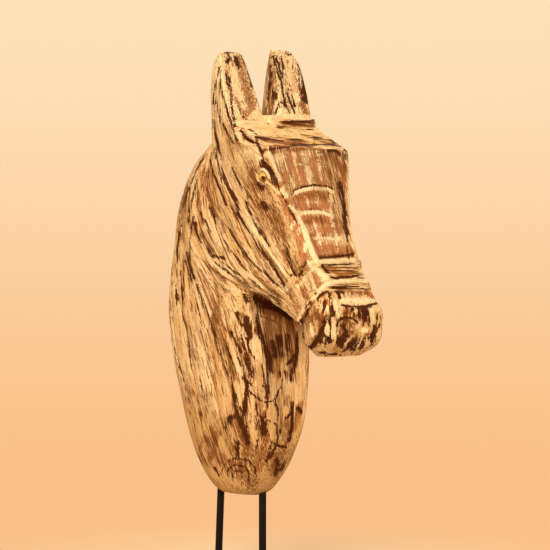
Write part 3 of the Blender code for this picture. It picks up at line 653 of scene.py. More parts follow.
FACE = {
    "dark": (
        (1.5, (241, 130), (245, 137), (253, 142)), (1.2, (248, 129), (252, 131), (257, 134)),
        (1.6, (256, 137), (258, 145), (262, 152), (264, 159)),
        (3.4, (261, 157), (264, 165), (270, 171), (275, 182)),
        (1.3, (277, 184), (281, 192), (289, 207), (296, 222)),
        (1.9, (285, 122), (298, 121), (313, 120)), (1.4, (307, 130), (313, 129)),
        (0.9, (265, 120), (268, 123), (269, 128)), (1, (258, 138), (270, 139), (283, 141)),
        (0.8, (290, 140), (305, 138), (325, 137), (334, 142)),
        (0.7, (265, 150), (280, 148), (297, 145), (314, 144), (331, 145), (342, 147)),
        (1.8, (329, 150), (336, 150), (339, 154)), (2.2, (345, 149), (347, 159)),
        (0.8, (293, 191), (302, 187), (315, 185), (327, 186), (333, 189)),
        (2.6, (340, 184), (342, 195), (344, 210), (345, 222), (347, 233)),
        (0.9, (347, 235), (347, 250), (350, 262)),
        (0.8, (320, 258), (330, 257), (342, 256), (353, 254)),
        (1.4, (322, 266), (327, 272), (333, 278), (338, 279)),
        (0.7, (321, 265), (335, 264), (354, 264)), (0.5, (330, 271), (345, 271), (354, 270)),
        (1.2, (333, 278), (345, 277), (356, 276), (366, 279)),
        (0.6, (334, 285), (345, 284), (358, 284)),
        (0.8, (332, 288), (345, 287), (357, 287), (366, 290)),
        (3, (336, 292), (341, 293), (340, 297)),
        (1.3, (342, 305), (350, 307), (360, 307), (368, 305), (376, 304)),
        (6.2, (361, 312), (367, 313), (366, 318)), (2.4, (352, 309), (360, 309), (371, 307)),
        (0.9, (338, 340), (336, 333), (337, 325), (340, 319), (346, 317), (353, 319), (358, 323)),
        (1.5, (344, 326), (346, 331), (344, 335), (350, 337)),
        (5.2, (340, 342), (345, 345), (352, 346), (360, 345), (366, 342), (371, 338)),
        (3, (371, 338), (375, 332), (378, 326)), (2, (343, 347), (345, 350)),
        (1.6, (320, 352), (330, 354), (340, 355)), (4.6, (326, 341), (329, 339)),
        (1.6, (325, 322), (322, 330), (324, 336), (321, 342)),
        (2.4, (329, 320), (332, 326), (332, 331), (330, 337)),
        (1.2, (329, 318), (333, 315), (337, 311)),
        (1.8, (329, 293), (330, 298), (333, 304), (332, 311)),
        (1.4, (324, 302), (325, 307), (323, 311)),
        (2.2, (305, 347), (311, 348), (317, 341), (320, 335)),
        (1.2, (320, 335), (322, 328), (326, 322)), (1.2, (302, 318), (303, 333), (304, 345)),
        (1, (318, 298), (322, 294), (328, 291)),
        (1.2, (299, 326), (301, 316), (306, 307), (313, 298), (318, 292)),
        (1.2, (377, 316), (377, 325)), (1, (308, 309), (306, 316)),
    ),
    "warm": (
        (4.6, (277, 184), (286, 202), (294, 220), (300, 240), (303, 256), (305, 268)),
        (2.4, (312, 236), (316, 246), (319, 253)), (3, (311, 270), (317, 278), (319, 287)),
        (3, (303, 292), (307, 297), (311, 301)), (5, (300, 155), (300, 168), (302, 182)),
        (4, (288, 158), (289, 170), (285, 180)), (5, (314, 160), (318, 175), (322, 184)),
        (5, (300, 198), (312, 195), (325, 197)), (3.5, (299, 206), (312, 207), (330, 205)),
        (4, (304, 220), (320, 220), (335, 222)), (3.5, (318, 230), (330, 230), (340, 230)),
        (3.4, (322, 247), (335, 249), (348, 250)), (2.6, (322, 257), (336, 256), (352, 253)),
        (3, (330, 268), (342, 274), (352, 272)), (2.2, (367, 291), (371, 296), (378, 301)),
        (2, (285, 125), (298, 125), (312, 124)), (2.4, (262, 138), (280, 141), (300, 139)),
        (1.6, (275, 146), (295, 143), (318, 141)), (2.6, (336, 160), (343, 172), (343, 186)),
        (3, (318, 312), (320, 317), (323, 320)), (2, (325, 301), (330, 305), (331, 311)),
        (2.6, (346, 312), (352, 314), (346, 318)), (2, (262, 160), (268, 168)),
    ),
    "haze": (
        (8, (318, 155), (330, 160), (340, 168)), (7, (325, 172), (335, 178), (338, 190)),
        (8, (276, 156), (284, 170), (292, 184)), (7, (300, 158), (314, 176), (322, 192)),
        (5, (330, 196), (336, 214), (338, 232)), (4, (290, 126), (310, 126)),
        (5, (306, 270), (311, 280), (309, 290)), (5, (345, 265), (352, 270), (358, 276)),
        (6, (345, 325), (352, 332), (350, 338)), (5, (312, 310), (318, 318), (322, 326)),
        (5, (347, 293), (357, 294)),
    ),
    "cream": (
        (2.4, (262, 118), (280, 118), (310, 117)), (3, (260, 122), (266, 128), (274, 122)),
        (2, (296, 130), (316, 134), (336, 140)), (1.6, (276, 130), (292, 136), (312, 140)),
        (2, (238, 112), (241, 122), (246, 128)), (2, (252, 124), (262, 129), (272, 134)),
        (1.6, (246, 142), (252, 150), (257, 160)), (2.6, (264, 120), (270, 127)),
        (1.4, (262, 135), (285, 134), (310, 132)), (2, (247, 146), (254, 150), (260, 158)),
        (1.6, (272, 160), (276, 172), (282, 180)), (2.6, (282, 190), (286, 196)),
        (1.8, (290, 206), (294, 211)), (2.2, (297, 213), (300, 222)), (1.8, (300, 228), (298, 234)),
        (2, (305, 244), (304, 251)), (1.6, (294, 222), (292, 228)), (1.8, (309, 262), (312, 270)),
        (1.3, (295, 193), (303, 190), (315, 188), (327, 189), (332, 192)),
        (1.3, (298, 214), (307, 212), (318, 212), (332, 215)),
        (0.7, (313, 239), (323, 238), (340, 239)),
        (2.4, (302, 222), (306, 236), (311, 250), (317, 262)),
        (1.5, (350, 165), (350, 190), (351, 215), (354, 245)),
        (1.6, (319, 262), (330, 261), (345, 260), (354, 261)),
        (2.4, (315, 267), (320, 273), (326, 279)),
        (2.4, (317, 293), (323, 287), (330, 283), (340, 281), (355, 280), (366, 281)),
        (1.8, (298, 320), (304, 309), (312, 299), (320, 291)),
        # The first mark on the next line is a painted highlight: the muzzle's top facet, lit from
        # above.
        (4.4, (343, 301), (358, 301), (373, 301)), (2.4, (327, 307), (327, 311)),
        (1, (327, 325), (326, 331), (329, 336)), (2, (335, 300), (337, 310), (338, 316)),
        (1.2, (360, 322), (354, 333), (346, 344)), (2.6, (372, 310), (373, 322)),
        (3, (362, 330), (368, 330)), (2.6, (310, 325), (313, 335)), (2, (334, 322), (334, 338)),
        (1.4, (306, 165), (311, 175)), (1.3, (318, 152), (319, 165), (322, 180)),
        (1.2, (258, 181), (257, 175), (259, 171), (263, 169), (267, 172), (269, 178)),
        (1, (267, 182), (273, 187), (279, 193)), (3.4, (268, 155), (271, 160), (276, 158)),
        (1.3, (303, 152), (307, 170), (310, 183)), (0.8, (294, 153), (297, 168), (301, 184)),
        (0.7, (284, 156), (288, 172), (294, 186)), (0.9, (330, 195), (331, 210), (333, 228)),
        (0.7, (306, 196), (309, 207)), (0.7, (318, 195), (318, 206)),
        (0.8, (313, 220), (318, 234), (322, 248)), (0.8, (333, 222), (336, 240), (338, 252)),
    ),
    "brown": (
        (5, (262, 139), (285, 141), (320, 138)), (4, (280, 145), (310, 143), (335, 141)),
        (3, (285, 124), (300, 124), (313, 122)), (6, (318, 155), (332, 158), (342, 170)),
        (4, (316, 152), (330, 152), (342, 155)), (5, (326, 166), (336, 178), (340, 192)),
        (3, (320, 257), (336, 255), (353, 253)), (4, (298, 197), (312, 194), (326, 197)),
        (1.2, (313, 236), (323, 235), (340, 236)), (3, (302, 222), (318, 219), (334, 222)),
        (3, (262, 152), (285, 150), (320, 147)), (5, (345, 320), (356, 316), (366, 320)),
        (6, (306, 316), (312, 332), (316, 344)), (3, (322, 296), (326, 303), (331, 311)),
        (4, (352, 340), (362, 338), (372, 330)), (3, (336, 318), (342, 330), (340, 340)),
        (3, (283, 122), (298, 125), (312, 125)), (5, (348, 312), (352, 325), (350, 335)),
        (5, (318, 313), (322, 320), (318, 330)), (3, (340, 291), (350, 291), (365, 293)),
        (4, (325, 270), (340, 274), (355, 272)), (3, (268, 160), (272, 172)),
        (1, (254, 172), (259, 166), (266, 167), (271, 175), (272, 184)),
        (1, (256, 182), (260, 188), (267, 188)),
    ),
}
KINDS = ("dark", "warm", "haze", "cream", "brown")
FINE_EDGES = (0.8, 0.4, 0.0, 0.5, 0.0)
HOLLOW_ROUNDS, HOLLOW_LIMITS = 8, (-0.10, 0.45)
GRAIN_LOCKS, GRAIN_A_LOCK = (5, 4, 1.5, 5, 5), 0.0115
DAB_NARROW, DAB_SHORT, DAB_SLANT = 0.28, 2.2, 0.3


def marks_on(points, normals):
    """The strength of each kind of mark where the wood faces the sheet."""
    away = points - view_centre
    scale = SHEET_UNITS_A_METRE / (VIEW_DISTANCE - away @ toward_view)
    middle = SHEET_WIDTH / 2
    sheet = np.stack([middle + away @ along_sheet * scale, middle - away[:, 2] * scale], axis=1)
    x, y, z = ((points - FOOT) / SHARE).T
    facing = ramp(normals @ toward_view, 0.0, 0.15)
    ear = ramp(z, 0.80, 0.82) * ramp(x, 0.125, 0.115)
    muzzle = ramp(x, 0.205, 0.215) * ramp(z, 0.30, 0.31)
    behind = ramp(x, 0.205, 0.195) * ramp(z, 0.47, 0.46)
    drawn = np.zeros((len(points), len(KINDS)))
    for marks, where in (
        (MANE_AND_CHEEK, MANE_STRENGTH - MANE_STRENGTH * behind * ramp(x, 0.10, 0.11)),
        (NECK, 1 - muzzle),
        (NEAR_EAR, ramp(y, 0.05, 0) * ramp(z, 0.68, 0.72)),
        (FAR_EAR, ramp(y, 0, 0.05) * ear),
        (FACE, 1 - ramp(x, 0.10, 0.08) * ramp(z, 0.75, 0.70) - behind),
    ):
        for k, kind in enumerate(KINDS):
            for width, *path in marks.get(kind, ()):
                one = stroke(sheet, path, MARK_BLEED + width, 1.0, MARK_SHARPNESS)
                drawn[:, k] = np.maximum(drawn[:, k], one * np.clip(where, 0, 1))
    return drawn * facing[:, None], facing


def hollow_of(mesh, points, normals, rounds):
    """How far each point lies below its neighbourhood, in metres. Ridges are negative."""
    pairs = np.empty(len(mesh.edges) * 2, int)
    mesh.edges.foreach_get("vertices", pairs)
    a, b = pairs.reshape(-1, 2).T
    count = np.bincount(a, minlength=len(points)) + np.bincount(b, minlength=len(points))
    eased = points.copy()
    for _ in range(rounds):
        total = np.empty_like(eased)
        for axis in range(3):
            total[:, axis] = np.bincount(a, eased[b, axis], len(points))
            total[:, axis] += np.bincount(b, eased[a, axis], len(points))
        eased = total / count[:, None]
    return np.sum((eased - points) * normals, axis=1)


def marks_all_round(points, normals):
    """The marks as drawn, and their mirror image on the side that the sheet can't reach."""
    flip = np.array((1, -1, 1))
    drawn, seen = marks_on(points, normals)
    flipped, _ = marks_on(points * flip, normals * flip)
    return drawn + flipped * (1 - seen)[:, None], seen


def add_attribute(mesh, name, values):
    """Stores a number, a vector or a colour for each point, by how many columns there are."""
    values = np.asarray(values, np.float32)
    kind, field = {
        1: ("FLOAT", "value"), 3: ("FLOAT_VECTOR", "vector"), 4: ("FLOAT_COLOR", "color")
    }[values.shape[1] if values.ndim > 1 else 1]
    mesh.attributes.new(name, kind, "POINT").data.foreach_set(field, values.ravel())


# Thin the mesh, least where a mark's edge needs its points
points, normals = read_surface(head_mesh)
drawn, seen = marks_all_round(points, normals)
edge_of_mark = np.max(4 * drawn * (1 - drawn) * FINE_EDGES, axis=1)
needed = np.clip(0.25 + 0.25 * seen + edge_of_mark, 0, 1) * (0.4 + 0.6 * seen)
head_object = put("carved", head_mesh)
spare = head_object.vertex_groups.new(name="spare")
for level in range(11):
    spare.add(np.flatnonzero(np.round(needed * 10) == level).tolist(), 1 - level / 10, "REPLACE")
fewer = head_object.modifiers.new("Fewer faces", "DECIMATE")
fewer.ratio = min(1.0, HEAD_TRIANGLES / (2 * len(head_mesh.polygons)))
fewer.use_collapse_triangulate = True
fewer.vertex_group = "spare"
fewer.vertex_group_factor = 0.00002
head_mesh = applied(head_object)

points, normals = read_surface(head_mesh)
points = np.clip(points, low, high)
move_points(head_mesh, points)
drawn, seen = marks_all_round(points, normals)
x, y, z = ((points - FOOT) / SHARE).T
lock, _ = lock_number(x, np.abs(y), z, GRAIN_LOCKS)
# Low down the neck narrows, and the grain keeps to it
through = np.where(z < 0.345, y * 0.93 / curve(NECK_HALF, z), y)
grain = np.stack([lock * GRAIN_A_LOCK, z * SHARE[2], through * SHARE[1]], axis=1)
crosswise = ramp(z, 0.766, 0.776) * ramp(x, 0.10, 0.12)
on_nose = ramp(normals[:, 0], 0.5, 0.7) * ramp(x, 0.30, 0.31) * ramp(z, 0.53, 0.52)
crosswise = np.maximum(crosswise, on_nose)
swapped = np.stack([z * SHARE[2] + x * 0.2, y * SHARE[1] + 0.4, x * 0.05], axis=1)
grain = np.where(crosswise[:, None] > 0.5, swapped, grain)
on_muzzle = ramp(x, 0.30, 0.31) * ramp(z, 0.465, 0.455) * ramp(z, 0.30, 0.31)
down = (z * SHARE[2] + DAB_SLANT * x * SHARE[0]) * DAB_SHORT
dabbed = np.stack([y * SHARE[1] * DAB_NARROW, down, x * SHARE[0] * DAB_NARROW], axis=1)
grain = np.where(on_muzzle[:, None] > 0.5, dabbed, grain)
panel = ramp(normals[:, 0], 0.45, 0.7) * ramp(x, 0.20, 0.21)
panel = panel * ramp(z, 0.52, 0.535) * ramp(z, 0.775, 0.765)
grain[:, 2] *= np.where(panel > 0.5, 1.5, 1.0)
hollow = hollow_of(head_mesh, points, normals, HOLLOW_ROUNDS) * 1000
for name, values in (
    ("marks", drawn[:, :4]),
    ("brown", drawn[:, 4]),
    ("grain", grain),
    ("hollow", np.clip(hollow, *HOLLOW_LIMITS)),
    ("panel", panel),
    ("low_neck", ramp(z, 0.27, 0.10)),
    ("ears", ramp(z, 0.81, 0.85) * ramp(x, 0.125, 0.115)),
    ("face", ramp(x, 0.17, 0.20) * ramp(z, 0.30, 0.31)),
):
    add_attribute(head_mesh, name, values)


def wire(tree, kind, inputs, **settings):
    """Adds a node, sets it, and feeds its inputs from values or from other sockets."""
    node = tree.nodes.new("ShaderNode" + kind)
    for name, value in settings.items():
        setattr(node, name, value)
    for name, value in inputs.items():
        socket = node.inputs[name]
        if isinstance(value, bpy.types.NodeSocket):
            tree.links.new(value, socket)
        else:
            socket.default_value = value
    return node.outputs[0]


def math_of(tree, operation, a, b=0.0, c=0.0):
    return wire(tree, "Math", {0: a, 1: b, 2: c}, operation=operation)


def blend_of(tree, factor, a, b):
    node = tree.nodes.new("ShaderNodeMix")
    node.data_type = "RGBA"
    for socket, value in ((node.inputs[0], factor), (node.inputs[6], a), (node.inputs[7], b)):
        if isinstance(value, bpy.types.NodeSocket):
            tree.links.new(value, socket)
        else:
            socket.default_value = value
    return node.outputs[2]


def step_of(tree, value, start, end):
    node = tree.nodes.new("ShaderNodeMapRange")
    node.interpolation_type = "SMOOTHSTEP"
    tree.links.new(value, node.inputs["Value"])
    node.inputs["From Min"].default_value = start
    node.inputs["From Max"].default_value = end
    return node.outputs["Result"]


def summed(tree, start, *terms):
    """start plus each value times its weight."""
    for value, weight in terms:
        start = math_of(tree, "MULTIPLY_ADD", value, weight, start)
    return start


def noise_of(tree, vector, repeats, detail=3.0):
    """Noise that repeats so many times a metre along each axis."""
    placed = wire(tree, "Mapping", {"Vector": vector, "Scale": repeats}, vector_type="POINT")
    noise = {"Vector": placed, "Scale": 1.0, "Detail": detail, "Roughness": 0.55}
    return wire(tree, "TexNoise", noise)


def attribute_of(tree, name, output="Fac"):
    node = tree.nodes.new("ShaderNodeAttribute")
    node.attribute_name = name
    return node.outputs[output]


def place_of(tree):
    return wire(tree, "TexCoord", {}).node.outputs["Object"]


def new_material(name):
    """A material, its node tree and its Principled shader."""
    material = bpy.data.materials.new(name)
    material.use_nodes = True
    return material, material.node_tree, material.node_tree.nodes["Principled BSDF"]


CREAM, FRESH_CREAM = (0.88, 0.640, 0.365, 1), (0.96, 0.74, 0.45, 1)
AGED_CREAM, SOFT_BROWN = (0.72, 0.44, 0.185, 1), (0.48, 0.225, 0.066, 1)
BROWN_STAIN_AND_SHADE, DARK_STAIN_AND_SHADE = (0.215, 0.076, 0.020, 1), (0.062, 0.016, 0.0045, 1)
WARM_STAIN, GREY_WASH = (0.34, 0.105, 0.026, 1), (0.27, 0.143, 0.055, 1)
RED_WOOD, ORANGE_WOOD = (0.29, 0.068, 0.018, 1), (0.52, 0.165, 0.038, 1)
WARM_LIGHT = (1.0, 0.62, 0.32, 1)
TONE_COVER, WARM_COVER, HAZE_COVER, STAIN_AND_SHADE_COVER = 0.50, 0.84, 0.52, 0.88
BARE_AND_SHADE_COVER, MARKED_COVER = 0.80, 0.20

limed, tree, shader = new_material("limed_wood_carving")
flow, place = attribute_of(tree, "grain", "Vector"), place_of(tree)
marks = wire(tree, "SeparateColor", {"Color": attribute_of(tree, "marks", "Color")}).node
dark_mark, warm_mark, haze_mark = (marks.outputs[i] for i in range(3))
cream_mark, brown_mark = attribute_of(tree, "marks", "Alpha"), attribute_of(tree, "brown")
hollow, panel_part, face_part, low_part, ear_part = (
    attribute_of(tree, name) for name in ("hollow", "panel", "face", "low_neck", "ears")
)
streak = noise_of(tree, flow, (420, 15, 300))
line = noise_of(tree, flow, (800, 34, 700))
hair = noise_of(tree, flow, (1700, 100, 1700))
cloud = noise_of(tree, flow, (110, 16, 110), 2.0)
speck = noise_of(tree, place, (520, 520, 520), 2.0)

# How ragged the brush left each edge, about nought on average
brushed = summed(tree, -4.30, (streak, 2.2), (line, 3.4), (speck, 1.4), (hair, 1.6))
rubbed = summed(tree, -4.02, (cloud, 1.3), (streak, 1.5), (line, 3.4), (hair, 2.0))
scrubbed = summed(tree, -4.30, (line, 3.6), (hair, 3.4), (speck, 1.6))
faded = math_of(tree, "MULTIPLY", dark_mark, summed(tree, 0.52, (cloud, 1.5)))

# Where each coat shows: a sum of noise and marks, where it starts and where it is full
warmed = summed(
    tree, scrubbed, (streak, 1.3), (warm_mark, 1.05), (panel_part, 0.46), (cream_mark, -1.3)
)
warm = step_of(tree, warmed, 0.86, 1.26)
# Here and in the next sum, the hollow term is partly stain kept in the cuts and partly painted
# shade: cuts and hollows come out darker, ridges lighter.
stain_and_shade_level = summed(
    tree, rubbed, (hollow, 1.2), (low_part, 0.03), (brown_mark, 0.72), (faded, 0.45),
    (haze_mark, 0.10), (cream_mark, -0.8),
)
stain_and_shade = step_of(tree, stain_and_shade_level, 0.20, 0.92)
bared_and_shaded = summed(
    tree, brushed, (faded, 1.20), (hollow, 0.60), (stain_and_shade, 0.30), (cream_mark, -0.9)
)
dark = step_of(tree, bared_and_shaded, 0.66, 1.20)
hazed = summed(tree, -2.98, (hair, 2.6), (line, 2.2), (speck, 1.4), (haze_mark, 0.60))
haze = step_of(tree, hazed, 0.10, 0.80)
# The hollow term deepens the soft brown tone in cuts and hollows: painted shade.
toned = summed(tree, scrubbed, (streak, 1.2), (hollow, 1.2), (cream_mark, -0.4))
tone = step_of(tree, toned, 0.55, 1.60)

# The limewash is yellower low down and over stain and the painted shade under the jaw, and palest
# on the face and ears
clouded = step_of(tree, cloud, 0.35, 0.7)
aged = summed(tree, 0.0, (clouded, 1.0), (low_part, 0.8), (brown_mark, 0.7))
fresh = step_of(tree, summed(tree, cream_mark, (panel_part, 0.65)), 0.45, 1.0)
fresh = summed(tree, math_of(tree, "MULTIPLY", fresh, face_part), (ear_part, 0.6))
cream = blend_of(tree, fresh, blend_of(tree, aged, CREAM, AGED_CREAM), FRESH_CREAM)
face_red = blend_of(tree, step_of(tree, streak, 0.35, 0.65), RED_WOOD, ORANGE_WOOD)
red = blend_of(tree, face_part, WARM_STAIN, face_red)
colour = cream
for coat, cover, paint in (
    (tone, TONE_COVER, SOFT_BROWN), (warm, WARM_COVER, red),
    (haze, HAZE_COVER, GREY_WASH), (stain_and_shade, STAIN_AND_SHADE_COVER, BROWN_STAIN_AND_SHADE),
    # Bare wood is darkest where a mark was drawn, and thinner in between; this coat also carries
    # painted shade in the cuts and hollows and the painted shadow under the jaw
    (dark, summed(tree, BARE_AND_SHADE_COVER, (dark_mark, MARKED_COVER)), DARK_STAIN_AND_SHADE),
):
    colour = blend_of(tree, math_of(tree, "MULTIPLY", coat, cover), colour, paint)
tree.links.new(colour, shader.inputs["Base Color"])

worn = math_of(tree, "MAXIMUM", dark, math_of(tree, "MULTIPLY", warm, 0.8))
roughness = summed(tree, 0.62, (speck, 0.12), (worn, -0.14))
tree.links.new(roughness, shader.inputs["Roughness"])
shader.inputs["Specular IOR Level"].default_value = 0.12
shader.inputs["Specular Tint"].default_value = WARM_LIGHT
relief = summed(tree, 0.0, (streak, 0.9), (line, 0.7), (hair, 0.3), (worn, -0.5))
bump = wire(tree, "Bump", {"Height": relief, "Strength": 0.7, "Distance": 0.0009})
tree.links.new(bump, shader.inputs["Normal"])
head_mesh.materials.clear()
head_mesh.materials.append(limed)
add_piece("horse_head_carving", head_mesh, "horse_head")

# Eyes
# A domed button of amber glass is glued into a drilled socket on each side, its pupil
# painted on the back. A thin dark line of glue shows round it. The amber is painted
# light round a spot above the middle, a painted glow of light through the glass.

EYE_RADIUS, EYE_DOME, EYE_BURIED = 0.0066, 0.0042, 0.0050
EYE_TURN = math.radians(16)
PAINTED_GLOW_AMBER, AMBER_DEEP = (0.80, 0.43, 0.07, 1), (0.36, 0.115, 0.010, 1)
PUPIL = (0.050, 0.013, 0.003, 1)
# Places on the eye, as shares of its radius toward the muzzle and up: the middle, the pupil, and
# the spot of the painted glow
EYE_SPOTS = (("from_middle", 0, 0), ("from_pupil", 0.30, -0.26), ("from_painted_glow", -0.20, 0.30))

amber, tree, shader = new_material("amber_glass_eye")
from_middle, from_pupil, from_painted_glow = (attribute_of(tree, name) for name, _, _ in EYE_SPOTS)
cloudy = wire(tree, "TexNoise", {"Vector": place_of(tree), "Scale": 420.0, "Detail": 3.0})
# The dome starts in the painted glow colour and deepens away from the glow spot, painted light in
# the glass; the pupil and the dark glue line go over it.
colour = PAINTED_GLOW_AMBER
for value, start, end, glass in (
    (summed(tree, 0.0, (from_painted_glow, 1.0), (cloudy, 0.3)), 0.45, 1.25, AMBER_DEEP),
    (summed(tree, -0.10, (from_pupil, 1.0), (cloudy, 0.2)), 0.56, 0.26, PUPIL),
    (from_middle, 0.86, 0.98, PUPIL),
):
    colour = blend_of(tree, step_of(tree, value, start, end), colour, glass)
tree.links.new(colour, shader.inputs["Base Color"])
tree.links.new(math_of(tree, "MULTIPLY_ADD", cloudy, 0.08, 0.05), shader.inputs["Roughness"])
shader.inputs["Coat Weight"].default_value = 0.6
shader.inputs["Coat Roughness"].default_value = 0.12
shader.inputs["Specular IOR Level"].default_value = 0.3


def turned(profile, sides):
    """A solid of revolution about Z from (radius, height) points."""
    bm = bmesh.new()
    verts = [bm.verts.new((r, 0, h)) for r, h in profile]
    edges = [bm.edges.new(pair) for pair in zip(verts, verts[1:])]
    bmesh.ops.spin(
        bm, geom=verts + edges, axis=(0, 0, 1), cent=(0, 0, 0), angle=2 * math.pi,
        steps=sides, use_merge=True,
    )
    bmesh.ops.remove_doubles(bm, verts=bm.verts, dist=1e-6)
    bmesh.ops.recalc_face_normals(bm, faces=bm.faces)
    return bm


for side, node in ((1, "eye_left"), (-1, "eye_right")):
    out = Vector((math.sin(EYE_TURN), side * math.cos(EYE_TURN), 0))
    apex = max((v.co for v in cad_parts[node].data.vertices), key=out.dot)
    bulge = np.linspace(0, math.pi / 2, 20)
    dome = [(EYE_RADIUS * math.cos(a), EYE_DOME * (math.sin(a) - 1)) for a in bulge[:-1]]
    back = -EYE_DOME - EYE_BURIED
    button = turned([(0, back), (EYE_RADIUS, back)] + dome + [(0, 0)], 64)
    eye_mesh = finished(button, node + "_glass")
    spots, _ = read_surface(eye_mesh)
    for name, aside, above in EYE_SPOTS:
        off = spots[:, 0] / EYE_RADIUS + side * aside, spots[:, 1] / EYE_RADIUS - above
        add_attribute(eye_mesh, name, np.hypot(*off))
    eye_mesh.transform(Matrix.Translation(apex) @ out.to_track_quat("Z", "Y").to_matrix().to_4x4())
    eye_mesh.materials.append(amber)
    add_piece(node + "_glass", eye_mesh, node)

# Rods
# Two lengths of ten millimetre steel bar, welded to the plate and pushed up into blind
# holes in the neck. The rear one leans, as it was bent to meet its hole.

ROD_RADIUS, ROD_SPACING, ROD_SOCKET = 0.0050, 0.086, 0.060
REAR_ROD_LEAN = math.radians(3.2)
PLATE_THICKNESS, WELD_SIZE, GAP = 0.008, 0.0032, 0.0003
BLACK_PAINT, WORN_STEEL = (0.0062, 0.0028, 0.0016, 1), (0.085, 0.055, 0.038, 1)
DUST, RUBBED_COVER = (0.20, 0.13, 0.075, 1), 0.18

steel_paint = bpy.data.node_groups.new("rubbed_black_paint", "ShaderNodeTree")
for name, way, kind in (
    ("Place", "INPUT", "NodeSocketVector"), ("Edge Wear", "INPUT", "NodeSocketFloat"),
    ("Dustiness", "INPUT", "NodeSocketFloat"), ("Paint Colour", "OUTPUT", "NodeSocketColor"),
    ("Paint Roughness", "OUTPUT", "NodeSocketFloat"), ("Paint Height", "OUTPUT", "NodeSocketFloat"),
):
    steel_paint.interface.new_socket(name=name, in_out=way, socket_type=kind)
given = steel_paint.nodes.new("NodeGroupInput")
result = steel_paint.nodes.new("NodeGroupOutput")
paint_place = given.outputs["Place"]
grit, patch = (
    wire(steel_paint, "TexNoise", {"Vector": paint_place, "Scale": repeats, "Detail": detail})
    for repeats, detail in ((900.0, 3.0), (45.0, 5.0))
)
facing = wire(steel_paint, "NewGeometry", {}).node.outputs["Normal"]
facing_up = wire(steel_paint, "SeparateXYZ", {"Vector": facing}).node.outputs["Z"]
rubbed = step_of(
    steel_paint,
    summed(steel_paint, -0.35, (patch, 1.0), (grit, 0.35), (given.outputs["Edge Wear"], 0.30)),
    0.42, 0.60,
)
settled = math_of(
    steel_paint, "MULTIPLY", step_of(steel_paint, facing_up, 0.6, 1.0),
    step_of(steel_paint, summed(steel_paint, 0.0, (patch, 0.45), (grit, 0.9)), 0.2, 1.3),
)
painted = BLACK_PAINT
for coat, cover, paint in (
    (rubbed, RUBBED_COVER, WORN_STEEL), (settled, given.outputs["Dustiness"], DUST)
):
    painted = blend_of(steel_paint, math_of(steel_paint, "MULTIPLY", coat, cover), painted, paint)
for value, name in (
    (painted, "Paint Colour"),
    (summed(steel_paint, 0.46, (grit, 0.18), (settled, 0.2), (rubbed, -0.12)), "Paint Roughness"),
    (summed(steel_paint, 0.0, (grit, 0.6), (patch, 0.6)), "Paint Height"),
):
    steel_paint.links.new(value, result.inputs[name])


def blackened(name, dustiness):
    """Flat black paint over steel, a little rubbed and dusty."""
    paint, tree, shader = new_material(name)
    coat = tree.nodes.new("ShaderNodeGroup")
    coat.node_tree = steel_paint
    coat.inputs["Dustiness"].default_value = dustiness
    tree.links.new(place_of(tree), coat.inputs["Place"])
    tree.links.new(attribute_of(tree, "edge"), coat.inputs["Edge Wear"])
    tree.links.new(coat.outputs["Paint Colour"], shader.inputs["Base Color"])
    tree.links.new(coat.outputs["Paint Roughness"], shader.inputs["Roughness"])
    shader.inputs["Specular IOR Level"].default_value = 0.16
    uneven = {"Height": coat.outputs["Paint Height"], "Strength": 0.5, "Distance": 0.0003}
    bump = wire(tree, "Bump", uneven)
    tree.links.new(bump, shader.inputs["Normal"])
    return paint


rod_paint = blackened("black_rod_paint", 0.25)
for side, lean, node in ((1, 0.0, "rod_front"), (-1, REAR_ROD_LEAN, "rod_rear")):
    entry = Vector((ROD_LINE_X + side * ROD_SPACING / 2, 0, STAND_HEIGHT))
    up = Vector((math.sin(lean), 0, math.cos(lean)))
    foot = -(STAND_HEIGHT - PLATE_THICKNESS) / math.cos(lean) + ROD_RADIUS * math.tan(lean) + GAP
    weld = ROD_RADIUS + WELD_SIZE
    shaft = np.linspace(foot + WELD_SIZE + 0.0006, ROD_SOCKET - 0.0010, 60)
    profile = [(0, foot), (weld - 0.0003, foot)]
    for a in np.linspace(0.15, math.pi / 2, 10):
        fillet = [WELD_SIZE * (1 - v) ** 0.8 for v in (math.sin(a), math.cos(a))]
        profile.append((ROD_RADIUS + fillet[0], foot + fillet[1]))
    profile += [(ROD_RADIUS - 0.00008, h) for h in shaft]
    profile += [(ROD_RADIUS - 0.001, ROD_SOCKET), (0, ROD_SOCKET)]
    bar = turned(profile, 48)
    for vert in bar.verts:
        out = math.hypot(vert.co.x, vert.co.y)
        above = vert.co.z - foot
        if 1e-5 < above < WELD_SIZE * 1.3 and out > ROD_RADIUS * 0.9:
            turn = math.atan2(vert.co.y, vert.co.x)
            bead = 0.5 + 0.5 * math.cos(17 * turn + 3 * above / WELD_SIZE)
            shrink = 1 - 0.05 * bead * max(0, 1 - above / (WELD_SIZE * 1.3))
            vert.co.x *= shrink
            vert.co.y *= shrink
    rod_mesh = finished(bar, node + "_bar")
    rod_mesh.transform(Matrix.Translation(entry) @ up.to_track_quat("Z", "Y").to_matrix().to_4x4())
    spots, _ = read_surface(rod_mesh)
    at_foot = spots[:, 2] < PLATE_THICKNESS + WELD_SIZE * 0.3
    spots[at_foot, 2] = np.maximum(spots[at_foot, 2], PLATE_THICKNESS + GAP)
    move_points(rod_mesh, np.clip(spots, *(np.array(corner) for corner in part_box(node))))
    rod_mesh.materials.append(rod_paint)
    add_piece(node + "_bar", rod_mesh, node)

# Base plate
# A flat steel plate with rounded corners and a filed edge, sprayed black with the rods.

PLATE_LENGTH, PLATE_WIDTH, PLATE_CORNER, PLATE_EDGE = 0.270, 0.160, 0.008, 0.0010

